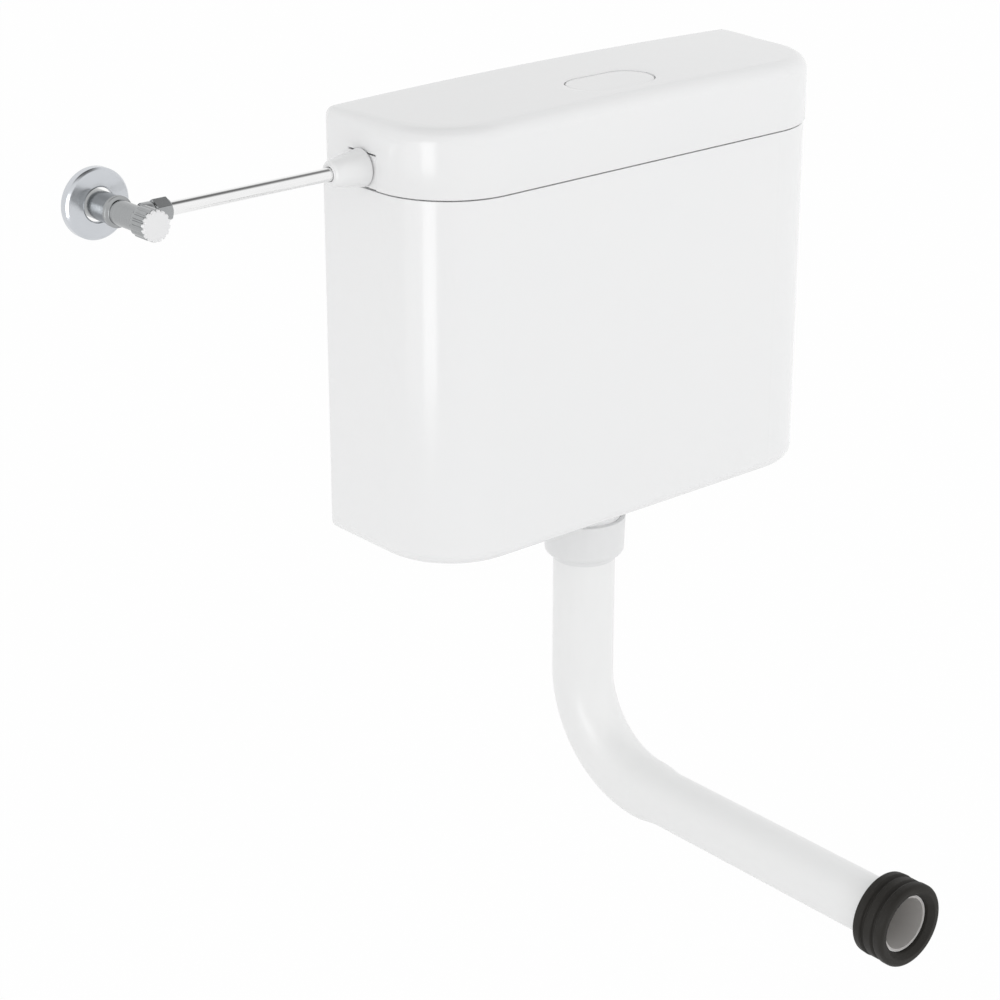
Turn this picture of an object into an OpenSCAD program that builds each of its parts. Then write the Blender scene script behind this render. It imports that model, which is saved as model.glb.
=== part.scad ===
// Wall-hung toilet cistern with a flush button in its lid, a side water supply and a flush pipe
// Millimetres. X runs along the wall, Y points into the wall and Z points up
// The origin lies on the tank's back face, midway between its two wall screw holes

/* [Tank] */
// Width of the tank
tank_w = 408; // [390:1:460]
// Depth of the tank from the wall to its front
tank_d = 131; // [128:1:150]
// Height from the outside of the floor to the shoulder under the lid
tank_h = 281.5; // [260:0.5:320]
// Radius of the two upright front corners
corner_r = 63; // [45:1:66]
// Radius of the rounded edge round the floor
floor_edge_r = 9; // [5:0.5:12]
// Wall thickness of the tank
tank_wall = 3; // [2.5:0.1:3.5]
// Height of the rim that stands up inside the lid
rim_h = 10; // [6:0.5:12]
// Distance of the rim's outside behind the tank's outside
rim_step = 4; // [3.5:0.1:5]
// Thickness of the rim
rim_wall = 2.5; // [2:0.1:3]
// Height of the wall screw holes above the outside of the floor
fixing_h = 245; // [200:1:250]
// Distance between the two wall screw holes
fixing_gap = 220; // [160:1:240]
// Diameter of a wall screw hole
fixing_hole_d = 8; // [6:0.5:10]
// Width of the two upstands that carry the inlets
ear_w = 44; // [36:1:50]
// Height of an upstand above the inlet's axis
ear_rise = 17; // [14:0.5:20]

/* [Lid] */
// Distance that the lid stands out past the tank
lid_over = 1; // [0.8:0.1:2]
// Open gap between the tank's shoulder and the lid
lid_gap = 2; // [1:0.1:3]
// Height of the lid from its lower edge to its crown
lid_h = 53; // [50:0.5:60]
// Rise of the top from its ends to its middle
lid_crown = 3.2; // [2:0.1:4.5]
// Radius of the rounded edge round the top
lid_edge_r = 12; // [9:0.5:13]
// Wall thickness of the lid
lid_wall = 2.6; // [2:0.1:2.8]
// Thickness of a rib that stands on the rim
rib_t = 2.4; // [1.6:0.1:3]
// Distance between the ribs along the front and the back
rib_gap = 105; // [80:1:115]
// Distance that a rib reaches past the rim
rib_rest = 2; // [1:0.1:4]

/* [Flush button] */
// Width of the button
button_w = 76; // [66:1:90]
// Depth of the button
button_d = 42; // [38:1:46]
// Distance of the button's middle from the wall
button_back = 87; // [86:1:92]
// Slit between the button and the lid
button_slit = 0.8; // [0.5:0.1:1.2]
// Distance that the button's top lies below the lid
button_sink = 0.6; // [0.1:0.1:1]
// Height of the button from its top to its lower edge
button_h = 10; // [8:0.5:11]
// Wall thickness of the button
button_wall = 2; // [1.5:0.1:2.5]
// Distance that the button travels down
button_travel = 5.5; // [4:0.1:5.5]
// Room left under the button at the end of its travel
button_rest = 1.5; // [1:0.1:2.5]
// Wall of the well that the button slides in
well_wall = 2; // [1.5:0.1:2.5]
// Thickness of the frame's floor under the well
frame_t = 2.5; // [2:0.1:3]
// Length of the guide sleeve under the frame
guide_len = 10; // [6:0.5:14]
// Wall of the guide sleeve
guide_wall = 2; // [1.5:0.1:2.5]
// Diameter of the push rod
rod_d = 6; // [5:0.1:7]
// Running clearance of the push rod in its guide, on the radius
rod_clear = 0.08; // [0.05:0.01:0.1]
// Mean radius of the return spring
spring_r = 5; // [4.7:0.1:5.4]
// Wire diameter of the return spring
spring_wire = 1; // [0.8:0.1:1.2]
// Turns of the return spring
spring_turns = 5; // [3:1:6]

/* [Flush lever] */
// Distance of the lever's axis below the tank's shoulder
lever_drop = 13; // [10:0.5:20]
// Length of the lever from its pin to the push rod
push_arm = 11; // [11:0.5:12]
// Length of the lever from its pin to the flush tube's axis
lift_arm = 22; // [21:0.5:24]
// Radius of the round noses at the lever's ends
nose_r = 3; // [2.5:0.1:3.5]
// Width of the nose under the push rod
push_nose_w = 8; // [6:0.5:10]
// Thickness of one fork prong
prong_t = 4.4; // [3:0.1:5]
// Height of the lever's arms
arm_h = 4; // [3:0.1:4.2]
// Radius of the lever's hub
hub_r = 4.2; // [3.5:0.1:4.8]
// Diameter of the lever's pin
lever_pin_d = 4; // [3:0.1:5]
// Gap left between the lever and what it touches
nose_gap = 0.6; // [0.5:0.05:0.9]
// Gap between the overflow tube and one fork prong
prong_gap = 1.6; // [1:0.1:2.5]
// Running clearance of a pin in its lever, on the radius
pin_clear = 0.05; // [0.03:0.01:0.1]

/* [Flush valve] */
// Outside diameter of the overflow tube
tube_d = 30; // [26:0.5:32]
// Wall thickness of the overflow tube
tube_wall = 2; // [1.5:0.1:2.5]
// Height of the tube above its lift lugs
tube_top = 6; // [4:0.5:10]
// Gap between the tube and the cage's guide, and beside the lever
tube_gap = 0.4; // [0.3:0.05:0.6]
// Length of the tube's foot below the seal
tube_foot = 3; // [2:0.1:4]
// Width of the lip round the tube's foot
tube_lip = 1.6; // [1:0.1:2]
// Thickness of a lift lug
lug_t = 3.5; // [3:0.1:5]
// Depth of a lift lug along the tube's side
lug_d = 9; // [8:0.5:12]
// Radius of the flange above the seal
bell_r = 25; // [24:0.5:26]
// Thickness of the flange above the seal
bell_t = 3; // [2:0.1:4]
// Thickness of the rubber seal
seal_t = 3; // [2:0.1:4]
// Radius of the seat's opening
seat_r = 20; // [19:0.1:20.5]
// Wall of the seat's lip
seat_lip = 3; // [2:0.1:3.5]
// Height of the seat's lip above its flange
seat_rise = 6; // [4:0.5:8]
// Thickness of the seat's flange
seat_t = 4; // [3:0.1:5]
// Radius of the seat's flange
seat_flange_r = 40; // [40:0.5:44]
// Thickness of the gasket under the seat
gasket_t = 2; // [1.5:0.1:3]
// Width of the gasket's ring
gasket_w = 12; // [10:0.5:14]
// Width of one square post of the cage
post_w = 6; // [5:0.5:7]
// Distance of a post from the middle, along the wall
post_x = 26; // [26:0.5:28]
// Distance of a post from the middle, towards the wall and away from it
post_y = 20; // [20:0.5:22]
// Height of the cage's foot ring
foot_h = 4; // [3:0.5:6]
// Distance of the foot ring inside the edge of the seat's flange
foot_set = 1; // [0.5:0.1:2]
// Room between the foot ring and the flange above the seal
foot_room = 4; // [2:0.5:5]
// Thickness of the cage's top plate
plate_t = 4; // [3:0.5:5]
// Distance of the top plate below the lever's axis
plate_drop = 20; // [18:0.5:24]
// Thickness of an ear that holds the lever's pin
pin_ear_t = 4; // [3:0.1:5]
// Distance of the top plate's edge in front of the lever's hub
plate_edge = 2; // [1:0.5:4]

/* [Flush outlet] */
// Distance of the outlet's axis from the wall
outlet_back = 65; // [62:0.5:68]
// Inside diameter of the tank's outlet spigot
spigot_bore = 51; // [50.6:0.1:52]
// Wall thickness of the outlet spigot
spigot_wall = 3.5; // [3:0.1:4]
// Length of the outlet spigot below the floor
spigot_len = 43.5; // [40:0.5:45]
// Outside diameter of the union nut
nut_d = 66; // [65:0.5:70]
// Distance of the union nut below the floor
nut_gap = 21; // [20:0.5:24]
// Height of the union nut
nut_h = 32; // [31:0.5:36]
// How much the nut narrows towards its lower edge, on the radius
nut_taper = 1; // [0.5:0.1:1.5]
// Radius of the union nut's rounded lower edge
nut_edge_r = 5.5; // [3:0.5:5.5]
// Length of the narrow collar under the union nut
collar_len = 4; // [3:0.5:8]
// Clearance of the thread inside the union nut, on the radius
thread_clear = 0.2; // [0.1:0.05:0.3]
// Height of the rubber cone seal
cone_h = 6.5; // [5:0.5:7]
// Taper of the cone seal, on the radius
cone_taper = 1.6; // [1:0.1:2.5]
// Clearance of the flush pipe in the union nut, on the radius
neck_clear = 0.2; // [0.1:0.1:0.6]
// Wall of the narrow collar under the union nut
collar_wall = 0.6; // [0.5:0.1:2.5]

/* [Flush pipe] */
// Outside diameter of the upright pipe
pipe_d = 50; // [48:0.5:50]
// Outside diameter of the run to the pan
run_d = 45; // [40:0.5:45]
// Wall thickness of the pipe
pipe_wall = 2; // [1.5:0.1:2.5]
// Distance of the run's axis below the tank's floor
pipe_drop = 238; // [200:1:300]
// Radius of the bend along its middle
bend_r = 82; // [70:1:100]
// Distance from the upright's axis to the open end of the run
run_reach = 356; // [300:0.5:400]
// Length of the cone that narrows the pipe
taper_len = 24; // [15:1:40]
// Distance of the pipe's upper end below the floor
pipe_sink = 3; // [2:0.5:5]

/* [Pan connector] */
// Outside diameter of the connector's rims
rim_d = 66; // [62:0.5:68]
// Diameter of the two grooves between the rims and the ridge
groove_d = 62; // [58:0.5:63]
// Diameter of the connector's mouth
mouth_d = 46; // [42:0.5:47]
// Depth and width of the bevel round the mouth
mouth_bevel = 4; // [2:0.5:4.5]
// Length of the connector
connector_len = 29; // [26:0.5:34]
// Thickness of the rear flange
flange_t = 7.5; // [6:0.1:8.5]
// Length of the front rim
front_rim_t = 8.5; // [8:0.5:10]
// Radius of the front rim's rounded front edge
front_edge_r = 3.5; // [2:0.1:4]
// Diameter of the ridge between the grooves
ridge_d = 66; // [64:0.5:68]
// Width of the ridge between the grooves
ridge_t = 8; // [6:0.1:9]
// Depth of the lip in front of the pipe's end
lip_t = 6.5; // [5:0.5:9]

/* [Water inlet] */
// Height of the inlet's axis above the tank's shoulder
inlet_rise = 15.7; // [15.5:0.1:17]
// Distance of the inlet's axis from the wall
inlet_back = 48; // [46:0.5:56]
// Diameter of the inlet's threaded shank
shank_d = 16.6; // [15:0.1:16.6]
// Length of the shank outside the upstand
shank_out = 11; // [10:0.5:12]
// Diameter of the supply pipe
supply_d = 10; // [8:0.5:10]
// Wall thickness of the supply pipe
supply_wall = 1; // [0.8:0.1:1.5]
// Distance from the tank's side to the stop valve's axis
supply_reach = 197.7; // [150:0.1:300]
// Clearance of the shroud over the tank's shoulder
shroud_clear = 0.2; // [0.1:0.05:0.4]
// Radius of the shroud's wide end
shroud_r = 14.2; // [14:0.1:15]
// Radius of the shroud's small end
shroud_tip_r = 9.5; // [9.3:0.1:10]
// Length of the shroud outside the lid
shroud_out = 30; // [26:0.5:36]
// Wall thickness of the shroud
shroud_wall = 1.4; // [1.2:0.1:1.5]
// Half the width of the plate behind the shroud
shroud_plate_half = 15.5; // [15:0.1:16.5]
// Height of the plate's top above the inlet's axis
shroud_plate_rise = 11.1; // [10:0.1:12]
// Slit between the top of the shroud's plate and the lid
shroud_slit = 0.7; // [0.5:0.1:1]
// Slit between each side of the shroud's plate and the lid
plate_slit = 0.3; // [0.2:0.05:0.5]
// Depth of the groove behind the shroud's cone
shroud_groove = 0.4; // [0.3:0.1:0.6]
// Width of the groove behind the shroud's cone
shroud_groove_t = 0.7; // [0.4:0.1:1]
// Length of the lock nut
lock_nut_len = 4; // [3:0.1:4]
// Width of the lock nut across its flats
lock_nut_af = 21; // [20:0.5:22]
// Length of the supply pipe's union nut
supply_nut_len = 11.5; // [11.5:0.1:12]
// Width of the supply pipe's union nut across its flats
supply_nut_af = 18.6; // [18.4:0.1:18.8]
// Thickness of the flat seal in the union nut
flat_seal_t = 1.3; // [1:0.1:1.6]
// Thickness of the collar on the supply pipe's end
pipe_collar_t = 1.5; // [1:0.1:2]
// Clearance of the supply pipe in its nuts, on the radius
supply_clear = 0.1; // [0.05:0.05:0.3]
// Gap between the supply pipe and the shroud
shroud_gap = 0.4; // [0.3:0.1:0.9]

/* [Fill valve] */
// Thickness of the seal inside the upstand
inlet_seal_t = 2; // [1.5:0.1:3]
// Radius of the fill valve's flange
fill_flange_r = 14; // [12:0.5:15]
// Thickness of the fill valve's flange
fill_flange_t = 4; // [3:0.1:5]
// Diameter of the fill valve's barrel
barrel_d = 22; // [20:0.5:24]
// Length of the barrel behind its flange
barrel_len = 34; // [30:0.5:40]
// Diameter of the piston
piston_d = 14; // [12:0.1:15]
// Running clearance of the piston, on the radius
piston_clear = 0.08; // [0.05:0.01:0.1]
// Distance of the valve's nozzle behind the flange
nozzle_back = 13; // [11:0.5:14]
// Diameter of the nozzle's bore
nozzle_d = 8; // [6:0.5:9]
// Thickness of the piston's rubber face
face_t = 1.5; // [1:0.1:2]
// Distance of the rubber face inside the piston's edge
face_step = 0.5; // [0.3:0.1:1]
// Outside diameter of the spout under the barrel
spout_d = 13; // [11:0.5:14]
// Wall thickness of the spout
spout_wall = 2; // [1.5:0.1:2.5]
// Length of the spout below the barrel's axis
spout_len = 26; // [22:0.5:30]
// Wall thickness of the discharge tube
discharge_wall = 1.6; // [1.2:0.1:2]
// Distance of the discharge tube's end above the floor
discharge_h = 40; // [20:1:80]
// Distance of the arm's pin below the inlet's axis
cam_h = 14; // [13:0.5:15]
// Distance of the arm's pin behind the barrel's end
arm_back = 12; // [11:0.5:14]
// Angle that the arm swings through
arm_swing = 20; // [12:1:22]
// Angle that the arm hangs down with the tank empty
arm_droop = 15; // [10:1:18]
// Length of the arm from its pin to the float's screw
arm_len = 56; // [50:1:60]
// Width of the arm
arm_w = 10; // [8:0.5:11]
// Height of the arm's bar
arm_bar_h = 6; // [5:0.5:7]
// Diameter of the arm's pin
arm_pin_d = 4; // [3:0.1:5]
// Thickness of a lug that holds the arm's pin
arm_lug_t = 3; // [2:0.1:4]
// Length of a lug along the barrel
arm_lug_root = 8; // [6:0.5:10]
// Gap between the arm and each lug
arm_side_gap = 0.5; // [0.3:0.05:0.8]
// Diameter of the float
float_d = 52; // [44:1:54]
// Height of the float
float_h = 56; // [40:1:70]
// Diameter of the float's height screw
level_screw_d = 6; // [5:0.5:7]
// Length of the height screw above the arm
level_screw_top = 14; // [8:0.5:18]
// Diameter of the height screw's collar
level_collar_d = 10; // [8:0.5:12]
// Thickness of the height screw's collar
level_collar_t = 3; // [2:0.5:4]
// Distance of the float below the arm's bar
float_gap = 4; // [2:0.5:6]

/* [Stop valve] */
// Diameter of the wall rosette
rosette_d = 51; // [48:0.5:60]
// Depth of the rosette
rosette_t = 9; // [7:0.5:10]
// Height of the rosette's straight side
rosette_side = 5; // [4:0.1:6]
// Wall of the rosette and depth of its inner lip
rosette_lip = 3; // [2.5:0.1:3.5]
// Bevel of the rosette's edges
rosette_bevel = 1.5; // [0.8:0.1:1.8]
// Gap between the rosette and the stub
rosette_gap = 0.8; // [0.5:0.1:0.9]
// Diameter of the threaded tail in the wall
tail_d = 19.8; // [19:0.1:20]
// Length of the threaded tail
tail_len = 13; // [10:0.5:16]
// Diameter of the stub in front of the wall
stub_d = 21; // [21:0.1:22]
// Length of the stub
stub_len = 29; // [26:0.5:30]
// Diameter of the raised ring in front of the stub
ring_d = 22.6; // [22:0.1:25]
// Width of the raised ring
ring_t = 4; // [3:0.5:5]
// Diameter of the valve's body
body_d = 17.6; // [17.2:0.1:20]
// Distance of the body's front from the wall
body_front = 60; // [59:0.5:64]
// Distance of the valve's seat from the wall
stop_seat = 38; // [36:0.5:39]
// Diameter of the chamber in front of the seat
chamber_d = 13.6; // [13:0.1:13.8]
// Diameter of the bore in the seat
stop_bore = 10; // [8:0.1:11]
// Travel of the valve's cone when the handle opens it
cone_travel = 3; // [2:0.1:3]
// Length of the valve's cone
stop_cone_len = 7; // [6:0.1:7]
// Gap between the cone and the chamber's wall
cone_gap = 0.6; // [0.4:0.1:1]
// Thickness of the cone's closed end
cone_floor = 0.8; // [0.6:0.1:1.2]
// Thickness of the cone's washer
washer_t = 2; // [1.5:0.1:2.5]
// Turns of the handle from shut to open
handle_turns = 2.5; // [1:0.5:4]
// Length of the outlet branch to its thread
branch_len = 16; // [15:0.5:20]
// Diameter of the branch's collar
branch_d = 16; // [15:0.1:17]
// Length of the branch's collar
branch_collar_len = 8; // [8:0.5:9]
// Diameter of the branch's thread
branch_thread_d = 13.2; // [12.6:0.1:13.6]
// Length of the branch's thread
branch_thread_len = 7.5; // [6:0.5:9]
// Length of the supply pipe inside the branch's thread
pipe_seat_len = 4; // [3:0.5:6]
// Length of the brass olive
olive_len = 3.6; // [3:0.1:4]
// Width of the compression nut across its flats
comp_nut_af = 16; // [15.6:0.1:18]
// Length of the compression nut
comp_nut_len = 13; // [13:0.5:16]
// Bevel of the compression nut's ends
comp_nut_bevel = 1.4; // [0.8:0.1:2]
// Diameter of the handle
handle_d = 22.4; // [21.6:0.1:25]
// Length of the handle
handle_len = 18; // [16:0.5:20]
// Gap between the valve's body and the handle
handle_gap = 1; // [0.5:0.1:1.5]
// Number of flutes round the handle
flutes = 16; // [8:1:18]
// Radius of a flute
flute_r = 1.4; // [1:0.1:1.6]
// Bevel of the handle's and the branch collar's edges
edge_bevel = 0.8; // [0.4:0.1:1]
// Diameter of the spindle
spindle_d = 6; // [5.5:0.1:7]
// Step from the spindle to its threaded tip, on the radius
tip_step = 1; // [0.5:0.1:1.2]
// Running clearance of the spindle, on the radius
spindle_clear = 0.06; // [0.04:0.01:0.1]
// Width of the headwork's hexagon across its flats
head_af = 14; // [13.9:0.1:14.5]
// Height of the headwork's hexagon
head_t = 4; // [3.5:0.1:4.5]
// Width of the groove for the spindle's seal
groove_w = 1.6; // [1.2:0.1:2]
// Height of the groove for the spindle's seal
groove_t = 2; // [1.5:0.1:2.4]
// Thickness of the headwork in front of the groove
groove_cover = 1; // [0.6:0.1:1]
// Diameter of the handle's screw
handle_screw_d = 3; // [2.5:0.1:3.2]
// Depth of the screw inside the spindle
screw_depth = 5; // [4:0.5:6]
// Height of the screw's head
screw_head_t = 2.4; // [2:0.1:2.8]
// Depth of the pocket for the screw's head
pocket_t = 3; // [3:0.1:4]
// Thickness of the handle under the screw's head
handle_web = 2; // [1.5:0.1:3]
// Thickness of the cap on the handle's end
cap_t = 2; // [1.5:0.1:2.5]
// Bevel of the cap's edges
cap_bevel = 0.4; // [0.2:0.1:0.6]

/* [Hidden] */
$fn = 96;
// Overrun of a cut, clearance of a fixed fit and least gap between moving bodies
cut = 0.5;
fit = 0.02;
touch = 0.3;

// Heights, measured from the wall screw holes
floor_z = -fixing_h;
shoulder_z = floor_z + tank_h;
rim_z = shoulder_z + rim_h;
lid_low_z = shoulder_z + lid_gap;
lid_top_z = lid_low_z + lid_h;
inlet_z = shoulder_z + inlet_rise;
lever_z = shoulder_z - lever_drop;

// Lid
lid_w = tank_w + 2 * lid_over;
lid_d = tank_d + lid_over;
lid_corner_r = corner_r + lid_over;
crown_r = (pow(lid_w / 2, 2) + pow(lid_crown, 2)) / (2 * lid_crown);
crown_facets = 2400;
crown_trim = 0.5;
rib_in = lid_over + rim_step + rim_wall + rib_rest;
rib_top_z = lid_top_z - lid_edge_r;
notch_top_z = inlet_z + shroud_plate_rise + shroud_slit;
notch_w = 2 * (shroud_plate_half + plate_slit);

// Button, its well and its spring
button_top_z = lid_top_z - button_sink;
button_low_z = button_top_z - button_h;
button_floor_z = button_top_z - button_wall;
well_z = button_low_z - button_travel - button_rest;
guide_z = well_z - frame_t - guide_len;
rod_y = -(outlet_back + lift_arm + push_arm);
rod_low_z = lever_z + nose_r + nose_gap;
guide_r = rod_d / 2 + rod_clear;
spring_h = button_floor_z - well_z;
spring_rings = 8;
spring_sides = 6;
spring_steps = spring_turns * spring_rings;

// Lever
lever_y = -(outlet_back + lift_arm);
prong_x = tube_d / 2 + prong_gap;
prong_out = prong_x + prong_t;
ear_x = prong_out + tube_gap;
ear_out = ear_x + pin_ear_t;

// Flush valve
tube_r = tube_d / 2;
seat_z = floor_z + tank_wall + gasket_t;
seat_top_z = seat_z + seat_t;
lip_z = seat_top_z + seat_rise;
foot_z = lip_z - tube_foot;
lug_z = lever_z + nose_r + nose_gap;
tube_len = lug_z + lug_t + tube_top - foot_z;
plate_z = lever_z - plate_drop;
plate_front = lift_arm + hub_r + plate_edge;

// Outlet and pipe
spigot_r = spigot_bore / 2;
spigot_out_r = spigot_r + spigot_wall;
spigot_z = floor_z - spigot_len;
cone_z = spigot_z - cone_h;
nut_top_z = floor_z - nut_gap;
nut_foot_r = nut_d / 2 - nut_taper;
nut_low_z = nut_top_z - nut_h;
nut_bore_r = spigot_out_r + thread_clear;
neck_r = pipe_d / 2 + neck_clear;
run_z = floor_z - pipe_drop;
bend_out = outlet_back + bend_r;
run_out = outlet_back + run_reach;

// Inlet, measured to the left of the tank's middle
upstand_x = tank_w / 2 - rim_step;
ear_hole_r = shank_d / 2 + touch;
shroud_plate_drop = inlet_rise - shroud_clear;
hex_turn = 30;
shroud_len = lid_w / 2 + shroud_out - upstand_x;
shroud_straight = lid_w / 2 - upstand_x + shroud_groove_t;
shank_end_x = upstand_x + shank_out;
supply_nut_x = upstand_x + lock_nut_len + cut;
supply_end_x = shank_end_x + flat_seal_t;
supply_hole_r = supply_d / 2 + supply_clear;
supply_bore_r = supply_d / 2 - supply_wall;
collar_r = shank_d / 2 - touch;

// Fill valve, measured to the left of the tank's middle
fill_x = upstand_x - rim_wall - inlet_seal_t;
barrel_x = fill_x - fill_flange_t;
nozzle_x = barrel_x - nozzle_back;
barrel_end_x = barrel_x - barrel_len;
arm_pin_x = barrel_end_x - arm_back;
arm_pin_z = inlet_z - cam_h;
piston_travel = cam_h * arm_swing * PI / 180;
piston_front_x = nozzle_x - piston_travel - touch - face_t;
piston_end_x = arm_pin_x + nose_r + nose_gap;
spout_x = nozzle_x - spout_d / 2 + spout_wall / 2;
lug_in = arm_w / 2 + arm_side_gap;
lug_out = lug_in + arm_lug_t;
lug_top_z = inlet_z - piston_d / 2 - piston_clear - touch;
float_top = -(arm_bar_h / 2 + float_gap);

// Stop valve, measured from the wall and from its axis
valve_x = tank_w / 2 + supply_reach;
branch_end = branch_len + branch_thread_len;
comp_nut_start = branch_len + touch;
supply_start = branch_end - pipe_seat_len;
cone_r = chamber_d / 2 - cone_gap;
washer_at = stop_seat + touch;
stop_cone_at = washer_at + washer_t;
tip_at = stop_cone_at + cone_floor + cone_travel + touch;
shoulder_at = stop_cone_at + stop_cone_len + cone_travel + touch;
head_at = shoulder_at + cut;
handle_at = body_front + handle_gap;
handle_end = handle_at + handle_len;
cap_at = handle_end - cap_t;
pocket_at = cap_at - pocket_t;
spindle_end = pocket_at - handle_web;
screw_at = spindle_end - screw_depth;
groove_at = body_front + head_t - groove_cover - groove_t;
groove_r = spindle_d / 2 + groove_w;

// A round ring that stands on the current plane
module ring(r_out, r_in, h) {
    difference() {
        cylinder(r = r_out, h = h);
        translate([0, 0, -cut]) cylinder(r = r_in, h = h + 2 * cut);
    }
}

// A hexagon bar, given across its flats
module hexagon(af, h) cylinder(r = af / sqrt(3), h = h, $fn = 6);

// A round bar with a bevel at both ends
module bevelled_bar(r, h, bevel) {
    cylinder(r1 = r - bevel, r2 = r, h = bevel);
    translate([0, 0, bevel]) cylinder(r = r, h = h - 2 * bevel);
    translate([0, 0, h - bevel]) cylinder(r1 = r, r2 = r - bevel, h = bevel);
}

// Stands the current origin on the outlet's axis
module outlet(z) translate([0, -outlet_back, z]) children();

// Turns the current Z axis to point left along the wall, on the inlet's axis
module inlet_axis(x) translate([-x, -inlet_back, inlet_z]) rotate([0, -90, 0]) children();

// Turns the current Z axis to point out of the wall on the stop valve's axis
module valve_axis(out) translate([-valve_x, -out, inlet_z]) rotate([90, 0, 0]) children();

// Turns the current Z axis to point along the wall from the stop valve to the tank
module branch_axis(along) translate([along - valve_x, -inlet_back, inlet_z]) rotate([0, 90, 0]) children();

// Turns the current Z axis to point out of the wall on the flush run's axis
module run_axis(out) translate([0, -out, run_z]) rotate([90, 0, 0]) children();

// Stands the current origin on the float arm's pin, turned by the arm's droop
module arm_axis(along, up) {
    translate([-arm_pin_x, -inlet_back, arm_pin_z]) rotate([0, arm_droop, 0])
        translate([along, 0, up]) children();
}

// Outline of a wall section, from its inside to its rounded lower edge
module edge_section(reach, h, edge) {
    translate([0, edge]) square([reach, h - edge]);
    square([reach - edge, edge]);
    translate([reach - edge, edge]) circle(edge);
}

// A block with its back on Y = 0, upright rounded front corners and a rounded lower edge
module tub(w, d, h, corner, edge) {
    side = w / 2 - corner;
    rotate([90, 0, 0]) linear_extrude(d - corner) {
        edge_section(w / 2, h, edge);
        mirror([1, 0]) edge_section(w / 2, h, edge);
    }
    translate([side, corner - d, 0]) rotate([90, 0, -90])
        linear_extrude(2 * side) edge_section(corner, h, edge);
    for (s = [-1, 1]) translate([s * side, corner - d, 0]) rotate([0, 0, 225 + s * 45])
        rotate_extrude(angle = 90) edge_section(corner, h, edge);
}

// The tank's outline seen from above, drawn in from its outside by a margin
module plan(margin) {
    w = tank_w - 2 * margin;
    r = corner_r - margin;
    front = tank_d - margin;
    translate([-w / 2, r - front]) square([w, front - r - margin]);
    translate([r - w / 2, -front]) square([w - 2 * r, r]);
    for (s = [-1, 1]) translate([s * (w / 2 - r), r - front]) circle(r);
}

// The button's outline seen from above, grown by a margin
module button_outline(margin) {
    r = button_d / 2 + margin;
    half = (button_w - button_d) / 2;
    translate([0, -button_back]) {
        square([2 * half, 2 * r], center = true);
        for (s = [-1, 1]) translate([s * half, 0]) circle(r);
    }
}

// The button's outline as a block from one height to another
module button_block(margin, low, high)
    translate([0, 0, low]) linear_extrude(high - low) button_outline(margin);

// The round body whose top is the lid's crowned surface, lowered by a drop
module crown(drop) {
    translate([0, cut, lid_top_z - crown_r]) rotate([90, 0, 0])
        cylinder(r = crown_r - drop, h = lid_d + 2 * cut, $fn = crown_facets);
}

// The lid's block, drawn in on every side by a margin
module lid_block(margin, low) {
    top = lid_top_z + crown_trim - margin;
    w = lid_w - 2 * margin;
    d = lid_d - 2 * margin;
    intersection() {
        translate([0, -margin, top]) mirror([0, 0, 1])
            tub(w, d, top - low, lid_corner_r - margin, lid_edge_r - margin);
        crown(margin);
    }
}

// One rib under the lid that reaches inwards over the rim
module lid_rib(x, y, turn) {
    translate([x, y, rim_z]) rotate([0, 0, turn]) translate([-rib_t / 2, lid_wall / 2, 0])
        cube([rib_t, rib_in - lid_wall / 2, rib_top_z - rim_z]);
}

module tank() color("white") difference() {
    union() {
        translate([0, 0, floor_z]) tub(tank_w, tank_d, tank_h, corner_r, floor_edge_r);
        translate([0, 0, shoulder_z - tank_wall]) linear_extrude(rim_h + tank_wall) plan(rim_step);
        for (s = [0, 1]) mirror([s, 0, 0])
            translate([upstand_x - rim_wall, -inlet_back - ear_w / 2, shoulder_z - tank_wall])
                cube([rim_wall, ear_w, inlet_rise + ear_rise + tank_wall]);
        outlet(spigot_z) cylinder(r = spigot_out_r, h = spigot_len + tank_wall / 2);
    }
    translate([0, -tank_wall, floor_z + tank_wall]) tub(
        tank_w - 2 * tank_wall, tank_d - 2 * tank_wall, tank_h - 2 * tank_wall,
        corner_r - tank_wall, floor_edge_r - tank_wall
    );
    translate([0, 0, shoulder_z - tank_wall - cut])
        linear_extrude(rim_h + tank_wall + 2 * cut) plan(rim_step + rim_wall);
    outlet(spigot_z - cut) cylinder(r = spigot_r, h = spigot_len + tank_wall + 2 * cut);
    for (s = [0, 1]) mirror([s, 0, 0]) {
        inlet_axis(upstand_x - rim_wall - cut) cylinder(r = ear_hole_r, h = rim_wall + 2 * cut);
        translate([fixing_gap / 2, cut, 0]) rotate([90, 0, 0])
            cylinder(d = fixing_hole_d, h = tank_wall + 2 * cut);
    }
}

module lid() color("white") difference() {
    union() {
        difference() {
            lid_block(0, lid_low_z);
            lid_block(lid_wall, lid_low_z - cut);
        }
        intersection() {
            button_block(button_slit + well_wall, well_z, lid_top_z);
            crown(lid_wall / 2);
        }
        for (s = [-1, 1]) {
            lid_rib(s * rib_gap, -lid_d, 0);
            lid_rib(s * rib_gap, 0, 180);
            lid_rib(s * lid_w / 2, -(inlet_back + ear_w / 2 + rib_t), s * 90);
        }
    }
    button_block(button_slit, well_z - cut, lid_top_z + cut);
    translate([-lid_w / 2 - cut, -inlet_back - notch_w / 2, lid_low_z - cut])
        cube([lid_wall + 2 * cut, notch_w, notch_top_z - lid_low_z + cut]);
}

module button_frame() color("gainsboro") difference() {
    union() {
        button_block(button_slit + well_wall, well_z - frame_t, well_z);
        translate([0, rod_y, guide_z]) cylinder(r = guide_r + guide_wall, h = guide_len + frame_t / 2);
    }
    translate([0, rod_y, guide_z - cut]) cylinder(r = guide_r, h = frame_t + guide_len + 2 * cut);
}

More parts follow.
